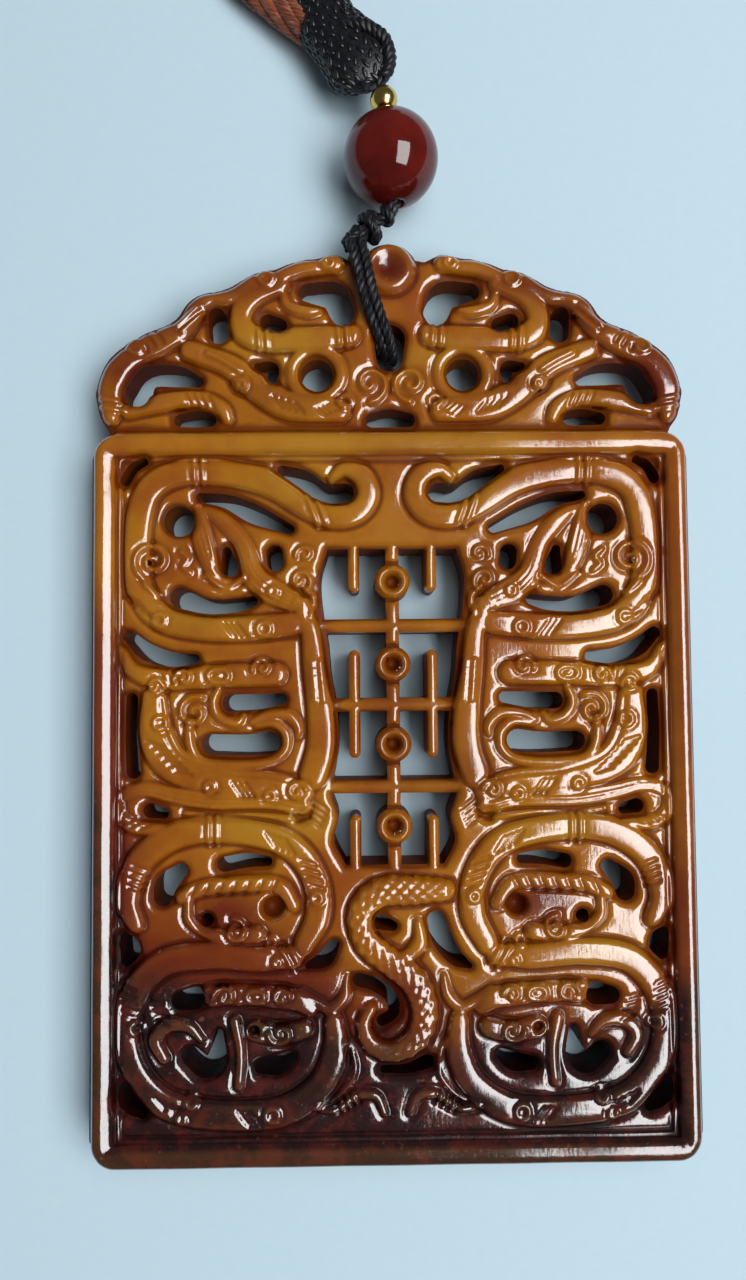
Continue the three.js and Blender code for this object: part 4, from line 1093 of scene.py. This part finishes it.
# Soft average over neighbouring grid points of the solid
def softened(heights, solid, reach):
    count = int(math.ceil(2.5 * reach / step))
    taps = np.exp(-0.5 * (np.arange(-count, count + 1) * step / reach) ** 2)
    total, weight = heights * solid, solid.astype(float)
    for axis in (0, 1):
        moved, share = np.zeros(gridShape), np.zeros(gridShape)
        for offset, tap in zip(range(-count, count + 1), taps):
            moved += tap * np.roll(total, offset, axis)
            share += tap * np.roll(weight, offset, axis)
        total, weight = moved, share
    return total / np.maximum(weight, 1e-9)


def softRim(depth, radius):
    inward = np.clip(1 - depth / radius, 0, 1)
    return 0.7 * radius * inward ** 2.2


def plaqueFields(facts, lattice):
    x, y = gridX[None, :], gridY[:, None]
    cornerX = np.abs(x) - (facts["width"] / 2 - facts["corner"])
    cornerY = np.abs(y - facts["height"] / 2) - (facts["height"] / 2 - facts["corner"])
    past = np.hypot(np.maximum(cornerX, 0), np.maximum(cornerY, 0))
    body = facts["corner"] - past - np.minimum(np.maximum(cornerX, cornerY), 0)
    half = smoothRow(crestEdge, 4)
    part, partX, partY = nearSpots([[-31, 76], [31, facts["total"]]], 1.5)
    crest = np.full(gridShape, -9.0)
    crest[part] = depthInside(np.vstack([half, np.array(mirrored(half))[::-1]]), partX, partY)
    ballY = facts["total"] - facts["ball"]
    fromBall = np.hypot(x, y - ballY)
    outline = np.maximum(np.maximum(body, crest), facts["ball"] - fromBall)

    clear = np.full(gridShape, 9.0)
    for row in [*bothSides(sideOpenings), *middleOpenings]:
        sinkOpening(clear, row)
    rightEdge = smoothRow(fieldEdge, 4)
    part, partX, partY = nearSpots([[-8, 30], [8, 65]], 1.5)
    field = np.full(gridShape, 9.0)
    field[part] = -depthInside(np.vstack([rightEdge, np.array(mirrored(rightEdge))[::-1]]), partX, partY)
    panel = np.minimum(np.minimum(outline, clear), field)

    lift, banded = np.zeros(gridShape), np.full(gridShape, -2.0)
    for row in bothSides(bodyBands):
        raiseBand(lift, banded, row, facts["crown"] - facts["ground"])
    for row in [tailBand, tailLobe]:
        raiseBand(lift, banded, row, facts["crown"] - facts["ground"])
    for row in bothSides(crestBands):
        raiseBand(lift, banded, row, facts["crestCrown"] - facts["crestGround"])
    for side in (-1, 1):
        raiseBand(lift, banded, [[*spot, 0.8] for spot in ringPoints(side * 7.9, 83.5, 2.6)],
                  facts["crestCrown"] - facts["crestGround"] - 0.4)
    lowPart = eased(-y, -40, -28)
    ground = facts["ground"] - (facts["ground"] - facts["lowGround"]) * lowPart
    ground = np.where(body < 0.4, facts["crestGround"], ground + 0 * x)
    heights = ground + lift * (1 + 0.28 * lowPart * (body > 0.4))
    heights -= 0.30 * np.exp(-((banded + 0.05) / 0.22) ** 2)
    scales = laidScales(tailBand, 0.62, 0.57, 0.45)
    heights += carveDetails(carvedFacts) + scales

    across = np.clip((body - facts["frameWide"] / 2) / (facts["frameWide"] / 2), -1, 1)
    domed = facts["frameFoot"] + (facts["frameTop"] - facts["frameFoot"]) * np.sqrt(1 - np.abs(across) ** 2.8)
    onSide = np.minimum(y, facts["height"] - y) > facts["width"] / 2 - np.abs(x)
    bar = np.where(onSide, np.interp(body, *facts["barShape"]), domed)
    frameZone = (body > 0) & (body < facts["frameWide"])
    heights = np.where(frameZone, np.maximum(bar, np.where(body > 2.3, heights - 1.4 * (3.1 - body), 0)),
                       heights)
    heights += 0.2 * np.exp(-((body - 3.15) / 0.16) ** 2) - 0.25 * np.exp(-((body - 3.5) / 0.2) ** 2)
    ballTop = np.interp(fromBall, [0, 1.1, 2.0, 2.5, 3.2], [6.25, 6.45, 7.0, 6.8, 5.6])
    heights = np.where(fromBall < facts["ball"], ballTop, heights)
    heights -= softRim(np.minimum(clear, field), facts["rim"])
    heights -= np.where(body < 0.4, softRim(outline, facts["outerRim"]), 0)

    rods = [([-lattice["reach"], y0], [lattice["reach"], y0], lattice["barHalf"]) for y0 in lattice["bars"]]
    rods.append(([0, lattice["post"][0]], [0, lattice["post"][1]], lattice["barHalf"]))
    for low, high in lattice["strokes"]:
        for side in (-1, 1):
            rods.append(([side * lattice["aside"], low], [side * lattice["aside"], high],
                         lattice["strokeHalf"]))
    bars, barTop = np.full(gridShape, -9.0), np.zeros(gridShape)
    for start, end, half in rods:
        part, partX, partY = nearSpots([start, end], 1.5)
        gap, _ = besideSegment(partX, partY, start, end)
        rounded = lattice["top"] - lattice["shoulder"] * (1 - np.sqrt(np.clip(1 - (gap / half) ** 2.4, 0,
                                                                              1)))
        barTop[part] = np.maximum(barTop[part], np.where(gap < half + 0.3, rounded, 0))
        bars[part] = np.maximum(bars[part], half - gap)
    for y0 in lattice["bosses"]:
        gap = np.hypot(x, y - y0)
        disc = gap < lattice["bossRadius"] + 0.3
        barTop = np.where(disc, np.interp(gap, *lattice["bossRing"]), barTop)
        bars = np.maximum(bars, lattice["bossRadius"] - gap)
    heights = np.where(field < -0.05, barTop, np.maximum(heights, np.where(bars > 0, barTop, 0)))
    depth = np.maximum(panel, bars)

    back = np.where(body < 0.2, facts["crestBack"], facts["panelBack"] * eased(body, 2.9, 3.3))
    back = np.where(field < -0.1, facts["latticeBack"], back)
    back = np.where((fromBall < facts["ball"]) & (body < 0.2), facts["ballBack"], back)
    back = back + softRim(np.minimum(clear, outline), 0.25)
    return depth, heights, back


# Moves grid points beside an edge onto it, so that the kept triangles end there
def snapToEdges(depth):
    shift = np.zeros((*gridShape, 2))
    best = np.full(gridShape, 9.0)
    rows, columns = gridShape
    for down, across in ((0, 1), (1, 0), (1, 1)):
        near = (slice(0, rows - down), slice(0, columns - across))
        far = (slice(down, rows), slice(across, columns))
        crossing = depth[near] * depth[far] < 0
        share = np.where(crossing, depth[near] / np.where(crossing, depth[near] - depth[far], 1), 9.0)
        way = np.array([across, down]) * step
        length = math.hypot(across, down)
        for part, moved, sign in ((near, share, 1), (far, 1 - share, -1)):
            closer = crossing & (moved <= 0.5) & (moved * length < best[part])
            best[part] = np.where(closer, moved * length, best[part])
            shift[part] = np.where(closer[..., None], sign * moved[..., None] * way, shift[part])
    return shift, best < 9


def keptTriangles(depth, snapped):
    number = np.arange(depth.size).reshape(gridShape)
    low, right = number[:-1, :-1], number[:-1, 1:]
    top, both = number[1:, :-1], number[1:, 1:]
    triangles = np.vstack([np.stack([low, right, both], -1).reshape(-1, 3),
                           np.stack([low, both, top], -1).reshape(-1, 3)])
    settled = np.where(snapped, 0, depth).ravel()[triangles]
    original = depth.ravel()[triangles].mean(1)
    kept = (settled >= 0).all(1) & ((settled > 0).any(1) | (original > 0))
    triangles = triangles[kept]
    for _ in range(4):
        start, end = rimEdges(triangles, depth.size)
        doubled = np.flatnonzero(np.bincount(start, minlength=depth.size) > 1)
        if not len(doubled):
            break
        triangles = triangles[~np.isin(triangles, doubled).any(1)]
    return triangles


# Edges that belong to one triangle only
def rimEdges(triangles, count):
    start = triangles.ravel()
    end = np.roll(triangles, -1, axis=1).ravel()
    code = start.astype(np.int64) * count + end
    back = end.astype(np.int64) * count + start
    alone = ~np.isin(code, back)
    return start[alone], end[alone]


def gridValue(values, x, y):
    column = np.clip((x - gridX[0]) / step, 0, gridShape[1] - 1.001)
    row = np.clip((y - gridY[0]) / step, 0, gridShape[0] - 1.001)
    c, r = column.astype(int), row.astype(int)
    u, v = column - c, row - r
    low = values[r, c] * (1 - u) + values[r, c + 1] * u
    high = values[r + 1, c] * (1 - u) + values[r + 1, c + 1] * u
    return low * (1 - v) + high * v


# Patches of colour in the stone, each [x, y, reach across, reach up, strength], dark below the edge row
stoneFacts = {
    "honey": [
        [-12, 87, 6, 3, 0.9], [5, 85, 5, 3, 0.7], [-10, 71, 9, 3, 0.7], [-20, 57, 8, 3, 0.6],
        [-24, 66, 4, 6, 0.4], [-12.5, 35, 9, 2.5, 0.8], [17.5, 35, 8, 2.5, 0.7], [21, 22, 7, 2.5, 0.8],
        [0, 76, 20, 2, 0.7], [8, 71, 6, 3, 0.6], [-22, 43, 6, 4, 0.4], [-9, 48, 2, 8, 0.4],
        [0, 27, 5, 3, 0.5],
        [23, 57, 6, 3, 0.5], [14, 18.5, 6, 2, 0.6],
    ],
    "red": [
        [-28, 84, 5, 5, 0.8], [28, 83, 6, 5, 0.8], [0, 95, 4, 3, 0.9], [-15, 93, 9, 2.5, 0.7],
        [15, 93, 9, 3, 0.7],
        [-22, 89, 5, 3, 0.6], [22, 89, 5, 3, 0.6], [0, 80, 24, 4, 0.35], [-13, 82, 5, 3, 0.3],
        [13, 83, 5, 3, 0.4],
        [20, 64, 8, 6, 0.4], [17, 46, 8, 5, 0.35], [32, 50, 4, 26, 0.8], [-32, 48, 4.5, 13, 1.2],
        [9, 40, 4, 5, 0.5], [28, 28, 4, 6, 0.5], [10, 62, 4, 6, 0.5], [15, 27, 6, 3, 0.9],
        [0, 48, 6, 18, 0.6], [-17, 27, 5, 3, 0.6], [-28, 33, 4, 8, 0.6], [1, 19, 4, 4, 0.5],
    ],
    "darkEdge": [[-32, 45], [-29.3, 33], [-27, 20.5], [-8, 18.5], [-3, 13.5], [4, 12], [9, 15],
                 [26, 15.5], [29, 18], [32, 23]],
    "darkSoft": 5.0, "redAbove": 10.0, "redReach": 9.0, "redShare": ([-10, 2, 9], [1.0, 0.6, 0.65]),
}


def patchStrength(patches, x, y):
    total = np.zeros(len(x))
    for midX, midY, across, up, strength in patches:
        total += strength * np.exp(-((x - midX) / across) ** 2 - ((y - midY) / up) ** 2)
    return np.clip(total, 0, 1.2)


def stoneShares(facts, x, y):
    edge = np.interp(x, *np.transpose(facts["darkEdge"]))
    above = y - edge
    dark = np.clip(0.5 - above / (2 * facts["darkSoft"]), 0, 1.2)
    lowRed = np.clip((facts["redAbove"] - above) / facts["redReach"], 0, 1) * np.interp(x,
                                                                                        *facts["redShare"])
    red = patchStrength(facts["red"], x, y) + lowRed
    return {"honey": patchStrength(facts["honey"], x, y), "red": np.clip(red, 0, 1.2), "dark": dark}


def jadeMaterial():
    material, desk = newMaterial("honeyRedJade")
    spot = desk.add("ShaderNodeTexCoord").outputs["Object"]
    cloud = desk.noise(spot, 95.0, 4.0, 0.6)
    fine = desk.noise(spot, 480.0, 4.0, 0.6)
    mottle = desk.math("SUBTRACT", desk.math("ADD", desk.math("MULTIPLY", cloud, 0.75),
                                             desk.math("MULTIPLY", fine, 0.25)), 0.5)
    shares = {}
    for name, low, high, sway in (("honey", 0.15, 0.95, 1.0), ("red", 0.2, 1.0, 1.1),
                                  ("dark", 0.25, 0.9, 1.0)):
        moved = desk.math("ADD", desk.attribute(name), desk.math("MULTIPLY", mottle, sway))
        shares[name] = desk.spread(moved, low, high)
    colour = desk.mix(desk.spread(cloud, 0.3, 0.7), (0.29, 0.064, 0.0015, 1), (0.43, 0.155, 0.003, 1))
    colour = desk.mix(shares["honey"], colour, (0.42, 0.185, 0.008, 1))
    colour = desk.mix(shares["red"], colour, (0.155, 0.017, 0.0008, 1))
    deep = desk.mix(desk.spread(fine, 0.42, 0.62), (0.022, 0.0035, 0.003, 1), (0.075, 0.009, 0.005, 1))
    colour = desk.mix(shares["dark"], colour, deep)
    fleck = desk.noise(spot, 1500.0, 2.0, 0.5)
    flecked = desk.math("MULTIPLY", desk.spread(fleck, 0.66, 0.74),
                        desk.math("MULTIPLY", shares["dark"], 0.35))
    colour = desk.mix(flecked, colour, (0.30, 0.12, 0.06, 1))
    hollow = desk.attribute("hollow")
    # Painted shade: recesses and the hole walls get a dark brown multiplied into the stone colour by their
    # hollow share
    colour = desk.mix(desk.spread(hollow, 0.05, 0.7, 0.0, 0.9), colour, (0.34, 0.17, 0.10, 1), "MULTIPLY")
    # Painted highlight: raised crowns get a pale amber screened over the stone colour
    paintedCrownLight = desk.spread(desk.math("MULTIPLY", hollow, -1.0), 0.15, 0.8, 0.0, 0.08)
    colour = desk.mix(paintedCrownLight, colour, (0.62, 0.30, 0.07, 1), "SCREEN")
    height, wear = polished(desk, spot, 700.0, 3600.0)
    drawn = desk.add("ShaderNodeVectorMath", {0: spot, 1: (1.0, 0.14, 1.0)},
                     operation="MULTIPLY").outputs[0]
    streak = desk.noise(drawn, 3400.0, 3.0, 0.6)
    height = desk.math("ADD", height, desk.math("MULTIPLY", streak, 0.5))
    bump = desk.add("ShaderNodeBump", {"Strength": 0.2, "Distance": 0.00012, "Height": height})
    rough = desk.math("ADD", desk.spread(wear, 0.0, 1.0, 0.15, 0.27, False),
                      desk.spread(hollow, 0.3, 0.7, 0.0, 0.35))
    finishMaterial(desk, {
        "Base Color": colour, "Roughness": rough, "Normal": bump.outputs["Normal"], "IOR": 1.62,
        "Specular IOR Level": desk.spread(hollow, 0.3, 0.7, 0.25, 0.08), "Subsurface Weight": 0.15,
        "Subsurface Radius": (1.0, 0.4, 0.12),
        "Subsurface Scale": 0.0022, "Coat Weight": desk.spread(hollow, 0.25, 0.65, 1.0, 0.0),
        "Coat Roughness": desk.spread(streak, 0.35, 0.7, 0.04, 0.12), "Coat IOR": 1.6,
        "Coat Normal": bump.outputs["Normal"],
    })
    return material


def makePlaque(facts):
    depth, heights, back = plaqueFields(facts, latticeFacts)
    solid = depth > 0
    wavy = 0.05 * np.sin(gridX[None, :] * 0.55 + 1.3) * np.sin(gridY[:, None] * 0.43 + 0.4)
    front = softened(heights, solid, 0.13) + wavy
    broad = softened(front, solid, 0.8)
    # Hollow share: positive in recesses, negative on raised crowns; the jade shader turns it into painted
    # shade and a painted highlight
    hollow = np.clip((broad - front) / 0.4, -1, 1)
    shift, snapped = snapToEdges(depth)
    triangles = keptTriangles(depth, snapped)
    used = np.unique(triangles)
    newNumber = np.zeros(depth.size, int)
    newNumber[used] = np.arange(len(used))
    gridPlaces = np.stack(np.broadcast_arrays(gridX[None, :], gridY[:, None]), -1) + shift
    flat = gridPlaces.reshape(-1, 2)[used]
    tops = gridValue(front, flat[:, 0], flat[:, 1])
    lows = gridValue(back, flat[:, 0], flat[:, 1])
    count = len(used)
    points = np.vstack([np.column_stack([flat, tops]), np.column_stack([flat, np.maximum(lows, 0)])])
    upper = newNumber[triangles]
    start, end = rimEdges(upper, count)
    walls = np.vstack([np.column_stack([start, start + count, end + count]),
                       np.column_stack([start, end + count, end])])
    faces = np.vstack([upper, upper[:, ::-1] + count, walls])
    mesh = bpy.data.meshes.new("plaqueGrid")
    mesh.vertices.add(len(points))
    mesh.vertices.foreach_set("co", place(points).ravel())
    mesh.loops.add(faces.size)
    mesh.loops.foreach_set("vertex_index", faces.ravel())
    mesh.polygons.add(len(faces))
    mesh.polygons.foreach_set("loop_start", np.arange(0, faces.size, 3))
    mesh.update(calc_edges=True)
    mesh.validate()
    print("plaque grid", len(faces), "faces")
    holder = linkedPiece("plaqueGrid", mesh, None)
    thin = holder.modifiers.new("thin", "DECIMATE")
    thin.ratio = min(1, facts["faces"] / len(faces))
    ready = holder.evaluated_get(bpy.context.evaluated_depsgraph_get())
    carved = bpy.data.meshes.new_from_object(ready)
    carved.name = "plaqueCarved"
    bpy.data.objects.remove(holder)
    bpy.data.meshes.remove(mesh)
    shadePlaque(carved, depth, front, hollow)
    plaque = linkedPiece("plaqueCarved", carved, jadeMaterial())
    return dressed(plaque, "jade", "plaque")


# Smooth shading from the height field, and the stone's patches and hollows as attributes; the hollow share
# also paints shade into recesses and onto the hole walls, and a highlight onto raised crowns
def shadePlaque(mesh, depth, front, hollow):
    spots = np.zeros(len(mesh.vertices) * 3)
    mesh.vertices.foreach_get("co", spots)
    spots = spots.reshape(-1, 3)
    x, y, z = spots[:, 0] / mm, (spots[:, 1] - plaqueLow.y) / mm, spots[:, 2] / mm
    slopeY, slopeX = np.gradient(front, step)
    facing = np.column_stack([-gridValue(slopeX, x, y), -gridValue(slopeY, x, y), np.ones(len(x))])
    outY, outX = np.gradient(depth, step)
    aside = np.column_stack([-gridValue(outX, x, y), -gridValue(outY, x, y), np.zeros(len(x))])
    corners = np.zeros(len(mesh.loops), int)
    mesh.loops.foreach_get("vertex_index", corners)
    flat = np.zeros(len(mesh.polygons) * 3)
    mesh.polygons.foreach_get("normal", flat)
    flat = np.repeat(flat.reshape(-1, 3), 3, axis=0)
    upward = flat[:, 2:]
    turned = np.where(upward > 0.4, facing[corners], np.where(upward < -0.4, flat, aside[corners]))
    weak = np.linalg.norm(turned, axis=1) < 0.2
    turned[weak] = flat[weak]
    turned /= np.linalg.norm(turned, axis=1)[:, None]
    mesh.polygons.foreach_set("use_smooth", [True] * len(mesh.polygons))
    mesh.normals_split_custom_set(turned.tolist())
    # Vertices below the front surface (hole walls and back) get a high hollow share, which gives them painted
    # shade in the jade's colour
    hollows = np.where(z > gridValue(front, x, y) - 0.3, gridValue(hollow, x, y), 0.9)
    for name, values in {"hollow": hollows, **stoneShares(stoneFacts, x, y)}.items():
        attribute = mesh.attributes.new(name, "FLOAT", "POINT")
        attribute.data.foreach_set("value", values.astype(np.float32))


plaqueCarved = makePlaque(plaqueFacts)
print("plaque carved,", len(plaqueCarved.data.polygons), "faces")


# Stage: pale paper, a window-like key light and soft fill
stageFacts = {
    "lamps": [
        {"name": "windowLight", "way": (0.47, -0.13, 0.86), "away": 0.65, "size": (0.34, 0.58),
         "power": 3.8},
        {"name": "windowGlow", "way": (0.47, -0.13, 0.86), "away": 0.66, "size": (0.34, 0.58), "power": 2.0,
         "unseen": "visible_diffuse"},
        {"name": "ceilingLight", "way": (0.22, 0.30, 0.93), "away": 0.7, "size": (0.40, 0.40), "power": 1.3,
         "unseen": "visible_glossy"},
    ],
    "paper": (0.585, 0.745, 0.83, 1), "paperDark": (0.55, 0.71, 0.80, 1),
    "sky": (0.80, 0.90, 1.0, 1), "skyStrength": 0.09,
}


def makeLamp(facts):
    light = bpy.data.lights.new(facts["name"], "AREA")
    light.shape = "RECTANGLE"
    light.size, light.size_y = facts["size"]
    light.energy = facts["power"]
    light.color = (0.97, 0.99, 1.0)
    lamp = bpy.data.objects.new(facts["name"], light)
    bpy.context.scene.collection.objects.link(lamp)
    way = np.array(facts["way"]) / np.linalg.norm(facts["way"])
    right = np.cross([0, 1.0, 0], way)
    right /= np.linalg.norm(right)
    up = np.cross(way, right)
    turn = Matrix([[right[r], up[r], way[r]] for r in range(3)]).to_4x4()
    lamp.matrix_world = Matrix.Translation((way * facts["away"]).tolist()) @ turn
    if "unseen" in facts:
        setattr(lamp, facts["unseen"], False)
    return lamp


def makeStage(facts):
    mesh = bpy.data.meshes.new("paperSheet")
    reach = 1.2
    mesh.from_pydata([(-reach, -reach, 0), (reach, -reach, 0), (reach, reach, 0), (-reach, reach, 0)], [],
                     [(0, 1, 2, 3)])
    material, desk = newMaterial("palePaper")
    spot = desk.add("ShaderNodeTexCoord").outputs["Object"]
    grain = desk.noise(spot, 900.0, 3.0)
    colour = desk.mix(grain, facts["paperDark"], facts["paper"])
    bump = desk.add("ShaderNodeBump", {"Strength": 0.05, "Distance": 0.0001, "Height": grain})
    finishMaterial(desk, {"Base Color": colour, "Roughness": 0.85, "Normal": bump.outputs["Normal"],
                          "Specular IOR Level": 0.2})
    floor = linkedPiece("paperSheet", mesh, material)
    for lamp in facts["lamps"]:
        makeLamp(lamp)
    world = bpy.data.worlds.new("paleRoom")
    world.use_nodes = True
    world.node_tree.nodes["Background"].inputs["Color"].default_value = facts["sky"]
    world.node_tree.nodes["Background"].inputs["Strength"].default_value = facts["skyStrength"]
    bpy.context.scene.world = world
    bpy.context.scene.view_settings.view_transform = "Standard"


makeStage(stageFacts)
print("stage set")
